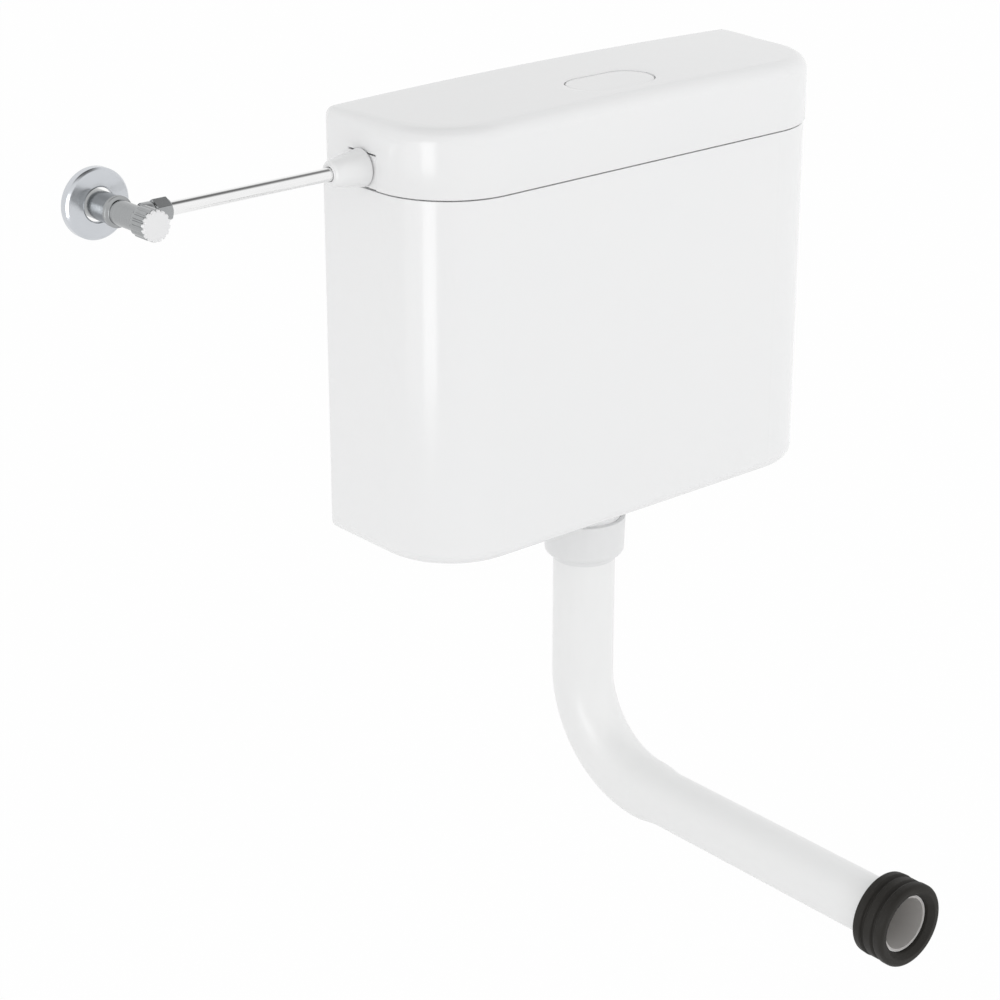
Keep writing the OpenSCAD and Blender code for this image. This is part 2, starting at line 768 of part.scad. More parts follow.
module flush_button() color("white") difference() {
    button_block(0, button_low_z, button_top_z);
    button_block(-button_wall, button_low_z - cut, button_floor_z);
}

module push_rod() color("gainsboro") {
    translate([0, rod_y, rod_low_z]) cylinder(d = rod_d, h = button_floor_z - rod_low_z);
}

// Middle of the spring's wire at one ring
function spring_point(i) = let (a = 360 * i / spring_rings, rise = (spring_h - spring_wire) / spring_steps)
    [spring_r * cos(a), spring_r * sin(a), spring_wire / 2 + rise * i];

// Corners of the spring's wire at one ring
function spring_ring(i) = let (a = 360 * i / spring_rings) [
    for (j = [0 : spring_sides - 1]) let (b = 360 * j / spring_sides)
        spring_point(i) + spring_wire / 2 * [cos(b) * cos(a), cos(b) * sin(a), sin(b)]
];

// Least free distance between two neighbouring turns
spring_gap = min([
    for (i = [0 : spring_steps - spring_rings]) norm(spring_point(i + spring_rings) - spring_point(i))
]) - spring_wire;
echo(spring_gap = spring_gap);

module button_spring() color("silver") translate([0, rod_y, well_z]) polyhedron(
    points = [for (i = [0 : spring_steps]) each spring_ring(i)],
    faces = concat(
        [for (j = [1 : spring_sides - 2]) [0, j, j + 1]],
        [for (i = [0 : spring_steps - 1], j = [0 : spring_sides - 1], half = [0, 1])
            let (a = i * spring_sides, b = a + spring_sides, k = (j + 1) % spring_sides)
                half == 0 ? [a + j, b + k, a + k] : [a + j, b + j, b + k]],
        [for (j = [1 : spring_sides - 2]) let (a = spring_steps * spring_sides) [a, a + j + 1, a + j]]
    )
);

// Side view of one lever arm, from its hub at the origin to its nose
module lever_arm(reach) {
    translate([min(0, reach), -arm_h / 2]) square([abs(reach), arm_h]);
    translate([reach, 0]) circle(nose_r);
}

module flush_lever() color("lightgray") translate([0, lever_y, lever_z]) rotate([90, 0, 90]) difference() {
    union() {
        for (low = [-prong_out, prong_x]) translate([0, 0, low]) linear_extrude(prong_t) lever_arm(lift_arm);
        translate([0, 0, -push_nose_w / 2]) linear_extrude(push_nose_w) lever_arm(-push_arm);
        translate([0, 0, -prong_out]) cylinder(r = hub_r, h = 2 * prong_out);
    }
    translate([0, 0, -ear_x]) cylinder(r = lever_pin_d / 2 + pin_clear, h = 2 * ear_x);
}

module lever_pin() color("silver") translate([-ear_out, lever_y, lever_z]) rotate([0, 90, 0])
    cylinder(d = lever_pin_d, h = 2 * ear_out);

module overflow_tube() color("lightblue") outlet(foot_z) difference() {
    union() {
        cylinder(r = tube_r, h = tube_len);
        cylinder(r = tube_r + tube_lip, h = tube_foot);
        translate([0, 0, tube_foot + seal_t]) cylinder(r = bell_r, h = bell_t);
        for (s = [0, 1]) mirror([s, 0, 0]) translate([tube_r - tube_wall / 2, -lug_d / 2, lug_z - foot_z])
            cube([prong_out - tube_r + tube_wall / 2, lug_d, lug_t]);
    }
    translate([0, 0, -cut]) cylinder(r = tube_r - tube_wall, h = tube_len + 2 * cut);
}

module flush_seal() color("dimgray") outlet(lip_z) ring(bell_r, tube_r + fit, seal_t);

module valve_cage() color("whitesmoke") difference() {
    union() {
        outlet(seat_top_z) ring(seat_flange_r - foot_set, bell_r + foot_room, foot_h);
        for (sx = [-1, 1], sy = [-1, 1])
            outlet(seat_top_z + foot_h / 2) translate([sx * post_x - post_w / 2, sy * post_y - post_w / 2, 0])
                cube([post_w, post_w, plate_z - seat_top_z + (plate_t - foot_h) / 2]);
        outlet(plate_z) translate([-ear_out, -plate_front, 0])
            cube([2 * ear_out, plate_front + post_y + post_w / 2, plate_t]);
        for (s = [0, 1]) mirror([s, 0, 0]) translate([ear_x, lever_y - hub_r, plate_z + plate_t / 2])
            cube([pin_ear_t, 2 * hub_r, plate_drop - plate_t / 2 + hub_r]);
    }
    outlet(plate_z - cut) cylinder(r = tube_r + tube_gap, h = plate_t + 2 * cut);
    translate([-ear_out - cut, lever_y, lever_z]) rotate([0, 90, 0])
        cylinder(r = lever_pin_d / 2 + fit, h = 2 * (ear_out + cut));
}

module valve_seat() color("whitesmoke") outlet(seat_z) difference() {
    union() {
        cylinder(r = seat_flange_r, h = seat_t);
        cylinder(r = seat_r + seat_lip, h = seat_t + seat_rise);
        translate([0, 0, -gasket_t - tank_wall / 2]) cylinder(r = spigot_r - touch, h = gasket_t + tank_wall);
    }
    translate([0, 0, -gasket_t - tank_wall])
        cylinder(r = seat_r, h = seat_t + seat_rise + gasket_t + 2 * tank_wall);
}

module seat_gasket() color("dimgray") outlet(floor_z + tank_wall)
    ring(spigot_r + gasket_w, spigot_r + fit, gasket_t);

module union_nut() color("white") outlet(0) difference() {
    rotate_extrude() {
        polygon([[0, nut_low_z + nut_edge_r], [nut_foot_r, nut_low_z + nut_edge_r], [nut_d / 2, nut_top_z],
            [0, nut_top_z]]);
        translate([0, nut_low_z]) square([nut_foot_r - nut_edge_r, nut_edge_r + cut]);
        translate([nut_foot_r - nut_edge_r, nut_low_z + nut_edge_r]) circle(nut_edge_r);
        translate([0, nut_low_z - collar_len]) square([neck_r + collar_wall, collar_len + cut]);
    }
    translate([0, 0, cone_z]) cylinder(r = nut_bore_r, h = spigot_len + cone_h);
    translate([0, 0, nut_low_z - collar_len - cut]) cylinder(r = neck_r, h = nut_h + collar_len);
}

module cone_seal() color("dimgray") outlet(cone_z) difference() {
    cylinder(r1 = nut_bore_r - cone_taper, r2 = nut_bore_r - fit, h = cone_h);
    translate([0, 0, -cut]) cylinder(r = pipe_d / 2 + fit, h = cone_h + 2 * cut);
}

// The flush pipe as a solid bar, thinner than its outside by a margin and longer by an overrun
module pipe_bar(margin, over) {
    r = pipe_d / 2 - margin;
    r_run = run_d / 2 - margin;
    outlet(run_z + bend_r) cylinder(r = r, h = pipe_drop - bend_r - pipe_sink + over);
    translate([0, -bend_out, run_z + bend_r]) rotate([0, 90, 0])
        rotate_extrude(angle = 90) translate([bend_r, 0]) circle(r);
    run_axis(bend_out) cylinder(r1 = r, r2 = r_run, h = taper_len);
    run_axis(bend_out + taper_len) cylinder(r = r_run, h = run_out - bend_out - taper_len + over);
}

module flush_pipe() color("white") difference() {
    pipe_bar(0, 0);
    pipe_bar(pipe_wall, cut);
}

module pan_connector() color([0.24, 0.23, 0.22]) run_axis(run_out + lip_t - connector_len) difference() {
    rim_start = connector_len - front_rim_t;
    rotate_extrude() {
        square([rim_d / 2, flange_t]);
        square([groove_d / 2, connector_len - front_edge_r]);
        translate([0, (flange_t + rim_start - ridge_t) / 2]) square([ridge_d / 2, ridge_t]);
        translate([0, rim_start]) square([rim_d / 2 - front_edge_r, front_rim_t]);
        translate([0, rim_start]) square([rim_d / 2, front_rim_t - front_edge_r]);
        translate([rim_d / 2 - front_edge_r, connector_len - front_edge_r]) circle(front_edge_r);
    }
    translate([0, 0, -cut]) cylinder(r = run_d / 2 + fit, h = connector_len - lip_t + cut);
    translate([0, 0, connector_len - lip_t]) cylinder(d = mouth_d, h = lip_t + cut);
    translate([0, 0, connector_len - mouth_bevel])
        cylinder(r1 = mouth_d / 2, r2 = mouth_d / 2 + mouth_bevel + cut, h = mouth_bevel + cut);
}

module fill_valve_body() color("whitesmoke") difference() {
    union() {
        inlet_axis(barrel_x) cylinder(d = shank_d, h = shank_end_x - barrel_x);
        inlet_axis(barrel_x) cylinder(r = fill_flange_r, h = fill_flange_t);
        inlet_axis(barrel_end_x) cylinder(d = barrel_d, h = barrel_len + fill_flange_t / 2);
        translate([-spout_x, -inlet_back, inlet_z - spout_len]) cylinder(d = spout_d, h = spout_len);
        for (low = [-lug_out, lug_in])
            translate([-barrel_end_x - arm_lug_root, low - inlet_back, arm_pin_z - arm_pin_d])
                cube([arm_lug_root + arm_back + arm_pin_d, arm_lug_t, lug_top_z - arm_pin_z + arm_pin_d]);
    }
    inlet_axis(nozzle_x - cut) cylinder(d = nozzle_d, h = shank_end_x - nozzle_x + 2 * cut);
    inlet_axis(barrel_end_x - cut)
        cylinder(r = piston_d / 2 + piston_clear, h = nozzle_x - barrel_end_x + cut);
    translate([-spout_x, -inlet_back, inlet_z - spout_len - cut])
        cylinder(r = spout_d / 2 - spout_wall, h = spout_len + cut);
    translate([-arm_pin_x, -inlet_back - lug_out - cut, arm_pin_z]) rotate([-90, 0, 0])
        cylinder(r = arm_pin_d / 2 + fit, h = 2 * (lug_out + cut));
}

module inlet_seal() color("dimgray") inlet_axis(fill_x) ring(fill_flange_r, shank_d / 2 + fit, inlet_seal_t);

// The lock nut is turned with a flat upwards, so that its corners stay below the lid's notch
module lock_nut() color("whitesmoke") inlet_axis(upstand_x) rotate(hex_turn) difference() {
    hexagon(lock_nut_af, lock_nut_len);
    translate([0, 0, -cut]) cylinder(r = shank_d / 2 + fit, h = lock_nut_len + 2 * cut);
}

module discharge_tube() color("gainsboro") translate([-spout_x, -inlet_back, floor_z + discharge_h]) {
    bore_r = spout_d / 2 + fit;
    ring(bore_r + discharge_wall, bore_r, inlet_z - barrel_d / 2 - cut - floor_z - discharge_h);
}

module fill_piston() color("lightblue") inlet_axis(piston_end_x)
    cylinder(d = piston_d, h = piston_front_x - piston_end_x);

module piston_face() color("dimgray") inlet_axis(piston_front_x)
    cylinder(r = piston_d / 2 - face_step, h = face_t);

module float_arm() color("lightblue") difference() {
    translate([-arm_pin_x, arm_w / 2 - inlet_back, arm_pin_z]) rotate([90, 0, 0]) linear_extrude(arm_w) {
        circle(arm_pin_d);
        translate([-arm_bar_h / 2, 0]) square([arm_bar_h, cam_h]);
        translate([0, cam_h]) circle(nose_r);
        rotate(-arm_droop) translate([0, -arm_bar_h / 2]) square([arm_len + arm_w / 2, arm_bar_h]);
    }
    translate([-arm_pin_x, -arm_w / 2 - inlet_back - cut, arm_pin_z]) rotate([-90, 0, 0])
        cylinder(r = arm_pin_d / 2 + pin_clear, h = arm_w + 2 * cut);
    arm_axis(arm_len, -arm_bar_h) cylinder(r = level_screw_d / 2 + fit, h = 2 * arm_bar_h);
}

module arm_pin() color("silver") translate([-arm_pin_x, -inlet_back - lug_out, arm_pin_z]) rotate([-90, 0, 0])
    cylinder(d = arm_pin_d, h = 2 * lug_out);

module level_screw() color("gainsboro") {
    arm_axis(arm_len, float_top - level_screw_top)
        cylinder(d = level_screw_d, h = 2 * level_screw_top - float_top);
    arm_axis(arm_len, arm_bar_h / 2) cylinder(d = level_collar_d, h = level_collar_t);
}

module float() color("white") difference() {
    arm_axis(arm_len, float_top - float_h) cylinder(d = float_d, h = float_h);
    arm_axis(arm_len, float_top - level_screw_top)
        cylinder(r = level_screw_d / 2 + fit, h = level_screw_top + cut);
}

module blanking_plug() color("gainsboro") mirror([1, 0, 0]) {
    inlet_axis(fill_x) cylinder(r = fill_flange_r, h = inlet_seal_t);
    inlet_axis(fill_x + inlet_seal_t / 2)
        cylinder(r = ear_hole_r - fit, h = inlet_seal_t / 2 + rim_wall + touch);
}

// The plate behind the shroud, as a block with its top below the slit
module shroud_plate(low, high) translate([-shroud_plate_drop, -shroud_plate_half, low])
    cube([shroud_plate_drop + shroud_plate_rise, 2 * shroud_plate_half, high - low]);

// The shroud's outside, drawn in by a margin and shorter by a stop
module shroud_bar(margin, stop) {
    taper = shroud_len - shroud_straight;
    slope = (shroud_r - shroud_tip_r) / taper;
    cylinder(r = shroud_r - margin, h = shroud_straight);
    translate([0, 0, shroud_straight])
        cylinder(r1 = shroud_r - margin, r2 = shroud_tip_r - margin + slope * stop, h = taper - stop);
}

module inlet_shroud() color("white") inlet_axis(upstand_x) difference() {
    union() {
        intersection() {
            cylinder(r = shroud_r - shroud_groove, h = shroud_straight);
            shroud_plate(-cut, shroud_straight + cut);
        }
        intersection() {
            shroud_bar(0, 0);
            translate([0, 0, shroud_straight]) cylinder(r = shroud_r + cut, h = shroud_len);
        }
        shroud_plate(shroud_straight - shroud_groove_t - lid_wall, shroud_straight - shroud_groove_t);
    }
    shroud_bar(shroud_wall, shroud_wall);
    translate([0, 0, -cut]) cylinder(r = shroud_r - shroud_wall, h = 2 * cut);
    cylinder(r = supply_d / 2 + shroud_gap, h = shroud_len + cut);
}

module supply_nut() color("silver") inlet_axis(supply_nut_x) difference() {
    hexagon(supply_nut_af, supply_nut_len);
    translate([0, 0, -cut])
        cylinder(r = shank_d / 2 + fit, h = supply_end_x + pipe_collar_t - supply_nut_x + cut);
    cylinder(r = supply_hole_r, h = supply_nut_len + cut);
}

module supply_seal() color("dimgray") inlet_axis(shank_end_x) ring(collar_r, supply_bore_r, flat_seal_t);

module supply_pipe() color("silver") inlet_axis(supply_end_x) difference() {
    union() {
        cylinder(d = supply_d, h = valve_x - supply_start - supply_end_x);
        cylinder(r = collar_r, h = pipe_collar_t);
    }
    translate([0, 0, -cut]) cylinder(r = supply_bore_r, h = valve_x - supply_start - supply_end_x + 2 * cut);
}

module compression_nut() color("silver") branch_axis(comp_nut_start) difference() {
    intersection() {
        hexagon(comp_nut_af, comp_nut_len);
        bevelled_bar(comp_nut_af / sqrt(3) - touch, comp_nut_len, comp_nut_bevel);
    }
    translate([0, 0, -cut])
        cylinder(r = branch_thread_d / 2 + thread_clear, h = branch_end + olive_len - comp_nut_start + cut);
    cylinder(r = supply_hole_r, h = comp_nut_len + cut);
}

module olive() color("goldenrod") branch_axis(branch_end)
    ring(branch_thread_d / 2, supply_d / 2 + fit, olive_len);

module stop_valve_body() color("silver") difference() {
    union() {
        valve_axis(-tail_len) cylinder(d = tail_d, h = tail_len + cut);
        valve_axis(0) cylinder(d = stub_d, h = stub_len + cut);
        valve_axis(stub_len) bevelled_bar(ring_d / 2, ring_t, edge_bevel);
        valve_axis(stub_len + ring_t / 2) cylinder(d = body_d, h = body_front - stub_len - ring_t / 2);
        branch_axis(0) cylinder(d = branch_thread_d, h = branch_end);
        branch_axis(branch_len - branch_collar_len) bevelled_bar(branch_d / 2, branch_collar_len, edge_bevel);
    }
    valve_axis(-tail_len - cut) cylinder(d = stop_bore, h = tail_len + stop_seat + 2 * cut);
    valve_axis(stop_seat) cylinder(d = chamber_d, h = body_front - stop_seat + cut);
    branch_axis(0) cylinder(r = supply_bore_r, h = branch_end + cut);
    branch_axis(supply_start - touch) cylinder(r = supply_d / 2 + fit, h = pipe_seat_len + touch + cut);
}

module rosette() color("silver") valve_axis(0) rotate_extrude() {
    r_in = stub_d / 2 + rosette_gap;
    r_out = rosette_d / 2;
    polygon([
        [r_in, rosette_t - rosette_lip], [r_in, rosette_t - rosette_bevel], [r_in + rosette_bevel, rosette_t],
        [r_in + rosette_lip, rosette_t], [r_out - rosette_bevel, rosette_side + rosette_bevel],
        [r_out, rosette_side], [r_out, 0],
        [r_out - rosette_lip, 0], [r_out - rosette_lip, rosette_side + rosette_bevel - rosette_lip],
        [r_in + rosette_lip, rosette_t - rosette_lip]
    ]);
}

module headwork() color("goldenrod") difference() {
    union() {
        valve_axis(head_at) cylinder(r = chamber_d / 2 - fit, h = body_front - head_at + head_t / 2);
        valve_axis(body_front) hexagon(head_af, head_t);
    }
    valve_axis(head_at - cut)
        cylinder(r = spindle_d / 2 + spindle_clear, h = body_front + head_t - head_at + 2 * cut);
    valve_axis(groove_at) cylinder(r = groove_r, h = groove_t);
}

module spindle() color("silver") difference() {
    union() {
        valve_axis(tip_at) cylinder(r = spindle_d / 2 - tip_step, h = spindle_end - tip_at);
        valve_axis(shoulder_at) cylinder(d = spindle_d, h = spindle_end - shoulder_at);
    }
    valve_axis(screw_at) cylinder(r = handle_screw_d / 2 + fit, h = screw_depth + cut);
}

module spindle_seal() color("dimgray") valve_axis(groove_at + fit)
    ring(groove_r - fit, spindle_d / 2 + spindle_clear, groove_t - 2 * fit);

module stop_cone() color("goldenrod") valve_axis(stop_cone_at) difference() {
    cylinder(r = cone_r, h = stop_cone_len);
    translate([0, 0, cone_floor]) cylinder(r = spindle_d / 2 - tip_step + pin_clear, h = stop_cone_len);
}

module cone_washer() color("dimgray") valve_axis(washer_at) cylinder(r = cone_r, h = washer_t);

// A bar with the handle's flutes, from one distance along the valve
module fluted_bar(out, len, bevel) difference() {
    valve_axis(out) bevelled_bar(handle_d / 2, len, bevel);
    for (i = [0 : flutes - 1])
        valve_axis(out - cut) rotate(360 * i / flutes) translate([handle_d / 2 + flute_r / 3, 0, 0])
            cylinder(r = flute_r, h = len + 2 * cut);
}

module handle() color("silver") difference() {
    fluted_bar(handle_at, handle_len - cap_t, edge_bevel);
    valve_axis(body_front) cylinder(r = head_af / sqrt(3) + touch, h = head_t + cut);
    valve_axis(body_front) cylinder(r = spindle_d / 2 + fit, h = spindle_end - body_front);
    valve_axis(body_front) cylinder(r = handle_screw_d / 2 + fit, h = handle_len);
    valve_axis(pocket_at) cylinder(r = handle_screw_d + fit, h = pocket_t + cut);
}

module handle_cap() color("white") fluted_bar(cap_at, cap_t, cap_bevel);

module handle_screw() color("silver") {
    valve_axis(pocket_at) cylinder(r = handle_screw_d, h = screw_head_t);
    valve_axis(screw_at + cut) cylinder(d = handle_screw_d, h = screw_depth + handle_web);
}

tank();
lid();
button_frame();
flush_button();
push_rod();
button_spring();
flush_lever();
lever_pin();
overflow_tube();
flush_seal();
valve_cage();
valve_seat();
seat_gasket();
union_nut();
cone_seal();
flush_pipe();
pan_connector();
fill_valve_body();
inlet_seal();
lock_nut();
discharge_tube();
fill_piston();
piston_face();
float_arm();
arm_pin();
level_screw();
float();
blanking_plug();
inlet_shroud();
supply_nut();
supply_seal();
supply_pipe();
compression_nut();
olive();
stop_valve_body();
rosette();
headwork();
spindle();
spindle_seal();
stop_cone();
cone_washer();
handle();
handle_cap();
handle_screw();
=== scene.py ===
# %% [markdown]
# # A wall-hung toilet cistern
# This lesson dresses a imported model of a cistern: a white plastic tank with a crowned lid, a chrome
# stop valve with its supply pipe, and a white flush pipe that ends in a black rubber connector.
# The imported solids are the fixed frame. Where a moulded edge, a fluted handle or a rubber rim needs
# a finer shape, a new surface is worked out with numpy and stands for the solid.

# %% Load the frame
import math

import bpy
import numpy as np
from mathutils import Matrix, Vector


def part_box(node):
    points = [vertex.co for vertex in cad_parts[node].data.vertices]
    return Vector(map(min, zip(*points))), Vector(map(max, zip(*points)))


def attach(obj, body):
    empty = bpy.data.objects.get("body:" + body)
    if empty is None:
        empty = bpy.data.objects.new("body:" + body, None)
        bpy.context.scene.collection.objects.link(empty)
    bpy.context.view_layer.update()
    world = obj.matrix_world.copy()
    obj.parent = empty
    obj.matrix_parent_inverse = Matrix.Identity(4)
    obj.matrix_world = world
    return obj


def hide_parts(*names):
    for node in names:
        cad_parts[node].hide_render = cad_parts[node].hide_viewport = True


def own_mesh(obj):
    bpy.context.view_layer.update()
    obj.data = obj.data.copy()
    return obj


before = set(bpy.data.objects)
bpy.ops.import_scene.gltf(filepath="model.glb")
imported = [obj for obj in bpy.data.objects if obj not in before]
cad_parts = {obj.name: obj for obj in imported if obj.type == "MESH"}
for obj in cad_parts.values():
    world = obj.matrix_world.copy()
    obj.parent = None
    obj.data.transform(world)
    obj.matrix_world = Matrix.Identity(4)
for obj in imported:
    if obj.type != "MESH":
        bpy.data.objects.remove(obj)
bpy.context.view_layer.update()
MM = 0.001

# %% [markdown]
# ## Camera
# The photograph looks down at the cistern from its left. The place, the two angles and the lens were
# fitted to the long edges of the tank and the pipes. The lens isn't shifted, so upright edges lean in a
# little towards the foot. A camera looks along its own -Z, so a turn of 90 degrees about X makes it
# level, and the pitch is taken off that.

# %% Camera
CAMERA_PLACE = (-1.3526, -1.5408, 0.5580)
CAMERA_YAW = 40.56
CAMERA_PITCH = 22.10
FOCAL_PIXELS = 2693.3
FRAME_PIXELS = 1000
SENSOR = 36.0


def make_camera():
    """Puts the camera at its place, turned about Z by the yaw and tipped down by the pitch."""
    data = bpy.data.cameras.new("camera")
    data.sensor_width = SENSOR
    data.lens = SENSOR * FOCAL_PIXELS / FRAME_PIXELS
    data.clip_start, data.clip_end = 0.05, 50
    camera = bpy.data.objects.new("camera", data)
    camera.location = CAMERA_PLACE
    camera.rotation_euler = (math.radians(90 - CAMERA_PITCH), 0, math.radians(-CAMERA_YAW))
    bpy.context.scene.collection.objects.link(camera)
    bpy.context.scene.camera = camera
    return camera


camera = make_camera()
print("lens:", round(camera.data.lens, 2), "mm")

# %% [markdown]
# ## Light and floor
# White plastic needs soft light, or its broad faces look like paper. The world gives an even fill,
# and two wide lamps stand in front and to the left, so the front is the brightest face and the top
# of the lid stays a little darker. A third, narrow lamp only makes the streak on the left corner, and
# the front lamp makes none. The floor and the world show white to the camera, to mirrors and through
# glass, and keep their own tone for everything else, so the white behind adds no light. Chrome needs
# something dark to mirror, so the world that is seen turns dark grey overhead.

# %% World, lamps and floor
WORLD_FILL = 1.12
FILL_FADE, ZENITH = (0.1, 0.9), 0.62
SEEN_FADE, MIRRORED_ZENITH = (0.70, 0.93), 0.10
FLOOR_Z, FLOOR_HALF = -0.560, 9.0
FLOOR_TONE, FLOOR_ROUGHNESS, FLOOR_GLOW = 0.92, 0.9, 0.97


def seen_ray(tree):
    """A mask that is 1 for camera, mirror and glass rays and 0 for the rest: the largest of the three."""
    path = tree.nodes.new("ShaderNodeLightPath")
    first = tree.nodes.new("ShaderNodeMath")
    first.operation = "MAXIMUM"
    second = tree.nodes.new("ShaderNodeMath")
    second.operation = "MAXIMUM"
    tree.links.new(path.outputs["Is Camera Ray"], first.inputs[0])
    tree.links.new(path.outputs["Is Glossy Ray"], first.inputs[1])
    tree.links.new(first.outputs[0], second.inputs[0])
    tree.links.new(path.outputs["Is Transmission Ray"], second.inputs[1])
    return second.outputs[0]


def make_world():
    """One sky that lights and one that is seen: tone = smooth step by height from 1 to its tone overhead."""
    world = bpy.data.worlds.new("studio")
    bpy.context.scene.world = world
    world.use_nodes = True
    tree = world.node_tree
    tree.nodes.clear()
    seen = tree.nodes.new("ShaderNodeBackground")
    fill = tree.nodes.new("ShaderNodeBackground")
    fill.inputs["Strength"].default_value = WORLD_FILL
    where = tree.nodes.new("ShaderNodeTexCoord")
    parts = tree.nodes.new("ShaderNodeSeparateXYZ")
    tree.links.new(where.outputs["Generated"], parts.inputs[0])
    skies = ((fill, FILL_FADE, ZENITH), (seen, SEEN_FADE, MIRRORED_ZENITH))
    for background, (start, end), overhead in skies:
        fade = tree.nodes.new("ShaderNodeMapRange")
        fade.interpolation_type = "SMOOTHSTEP"
        for key, value in (("From Min", start), ("From Max", end), ("To Min", 1.0), ("To Max", overhead)):
            fade.inputs[key].default_value = value
        tree.links.new(parts.outputs["Z"], fade.inputs["Value"])
        tree.links.new(fade.outputs["Result"], background.inputs["Color"])
    mix = tree.nodes.new("ShaderNodeMixShader")
    out = tree.nodes.new("ShaderNodeOutputWorld")
    tree.links.new(seen_ray(tree), mix.inputs["Fac"])
    tree.links.new(fill.outputs[0], mix.inputs[1])
    tree.links.new(seen.outputs[0], mix.inputs[2])
    tree.links.new(mix.outputs[0], out.inputs["Surface"])


def lamp(name, place, target, width, height, watts):
    """A flat lamp at a place, with its face turned to a target."""
    data = bpy.data.lights.new(name, "AREA")
    data.shape = "RECTANGLE"
    data.size, data.size_y = width, height
    data.energy = watts
    lamp_object = bpy.data.objects.new(name, data)
    lamp_object.location = place
    ray = np.array(target) - np.array(place)
    lamp_object.rotation_euler = (
        math.acos(-ray[2] / np.linalg.norm(ray)), 0, math.atan2(ray[1], ray[0]) - math.pi / 2)
    bpy.context.scene.collection.objects.link(lamp_object)
    return lamp_object


def make_floor():
    """A flat square under the connector: colour = mix(paper, white glow, glow share x seen ray)."""
    corners = [(x * FLOOR_HALF, y * FLOOR_HALF, FLOOR_Z) for x, y in ((-1, -1), (1, -1), (1, 1), (-1, 1))]
    mesh = bpy.data.meshes.new("floor")
    mesh.from_pydata(corners, [], [(0, 1, 2, 3)])
    floor = bpy.data.objects.new("floor", mesh)
    bpy.context.scene.collection.objects.link(floor)
    material = bpy.data.materials.new("floor paper")
    material.use_nodes = True
    tree = material.node_tree
    paper = tree.nodes["Principled BSDF"]
    paper.inputs["Base Color"].default_value = (FLOOR_TONE, FLOOR_TONE, FLOOR_TONE, 1)
    paper.inputs["Roughness"].default_value = FLOOR_ROUGHNESS
    glow = tree.nodes.new("ShaderNodeEmission")
    share = tree.nodes.new("ShaderNodeMath")
    share.operation = "MULTIPLY"
    share.inputs[1].default_value = FLOOR_GLOW
    mix = tree.nodes.new("ShaderNodeMixShader")
    tree.links.new(seen_ray(tree), share.inputs[0])
    tree.links.new(share.outputs[0], mix.inputs["Fac"])
    tree.links.new(paper.outputs[0], mix.inputs[1])
    tree.links.new(glow.outputs[0], mix.inputs[2])
    tree.links.new(mix.outputs[0], tree.nodes["Material Output"].inputs["Surface"])
    mesh.materials.append(material)


bpy.context.scene.view_settings.view_transform = "Standard"
make_world()
front_lamp = lamp("front lamp", place=(1.1, -2.4, 0.4), target=(0, -0.1, -0.1),
                  width=1.8, height=1.8, watts=9)
left_lamp = lamp("left lamp", place=(-1.4, -0.33, -0.2), target=(-0.17, -0.11, -0.1),
                 width=1.0, height=1.0, watts=2)
shine_lamp = lamp("shine lamp", place=(-1.30, -0.60, -0.15), target=(-0.17, -0.11, -0.15),
                  width=0.40, height=1.1, watts=3)
shine_lamp.visible_diffuse = False
front_lamp.visible_glossy = False
make_floor()
watts = [made.data.energy for made in (front_lamp, left_lamp, shine_lamp)]
print("world fill:", WORLD_FILL, "lamps:", watts, "W")

# %% [markdown]
# ## Finishes: what a material needs
# Moulded plastic is never one flat colour. Its tone drifts a little over a hand's width, its gloss is
# uneven where the mould was polished, and its skin has a faint ripple. Metal that was turned or drawn
# has fine lines along or around it. Each of these is one node group with named inputs, built once and
# placed in every material that needs it. The groups only put out values that change over the surface.

# %% Node helpers
def add(tree, kind, **values):
    """A new node with some of its settings and unlinked inputs filled in."""
    made = tree.nodes.new(kind)
    for key, value in values.items():
        if hasattr(made, key):
            setattr(made, key, value)
        else:
            made.inputs[key.replace("_", " ")].default_value = value
    return made


def new_group(name, inputs, outputs):
    """An empty shader group with its sockets: {name: (socket type, start value)} in and {name: type} out."""
    group = bpy.data.node_groups.new(name, "ShaderNodeTree")
    for key, (kind, value) in inputs.items():
        group.interface.new_socket(key, in_out="INPUT", socket_type=kind).default_value = value
    for key, kind in outputs.items():
        group.interface.new_socket(key, in_out="OUTPUT", socket_type=kind)
    return group, group.nodes.new("NodeGroupInput"), group.nodes.new("NodeGroupOutput")


FLOAT, COLOUR, VECTOR = "NodeSocketFloat", "NodeSocketColor", "NodeSocketVector"
SKIN_OUT = {"Color": COLOUR, "Roughness": FLOAT, "Height": FLOAT}


def skin_inputs(last, kind, value):
    """The sockets that every skin group takes, and one more of its own."""
    return {"Tone": (COLOUR, (1, 1, 1, 1)), "Second tone": (COLOUR, (1, 1, 1, 1)),
            "Roughness": (FLOAT, 0.2), "Spread": (FLOAT, 0.1), last: (kind, value)}


def drift(group, given, out, tone_mask, rough_mask):
    """Tone = mix(tone, second tone, one mask); roughness = base + spread x (another mask - 1/2)."""
    tone = add(group, "ShaderNodeMix", data_type="RGBA")
    centred = add(group, "ShaderNodeMath", operation="SUBTRACT")
    centred.inputs[1].default_value = 0.5
    rough = add(group, "ShaderNodeMath", operation="MULTIPLY_ADD")
    group.links.new(tone_mask, tone.inputs["Factor"])
    group.links.new(given.outputs["Tone"], tone.inputs["A"])
    group.links.new(given.outputs["Second tone"], tone.inputs["B"])
    group.links.new(rough_mask, centred.inputs[0])
    group.links.new(centred.outputs[0], rough.inputs[0])
    group.links.new(given.outputs["Spread"], rough.inputs[1])
    group.links.new(given.outputs["Roughness"], rough.inputs[2])
    group.links.new(tone.outputs["Result"], out.inputs["Color"])
    group.links.new(rough.outputs[0], out.inputs["Roughness"])


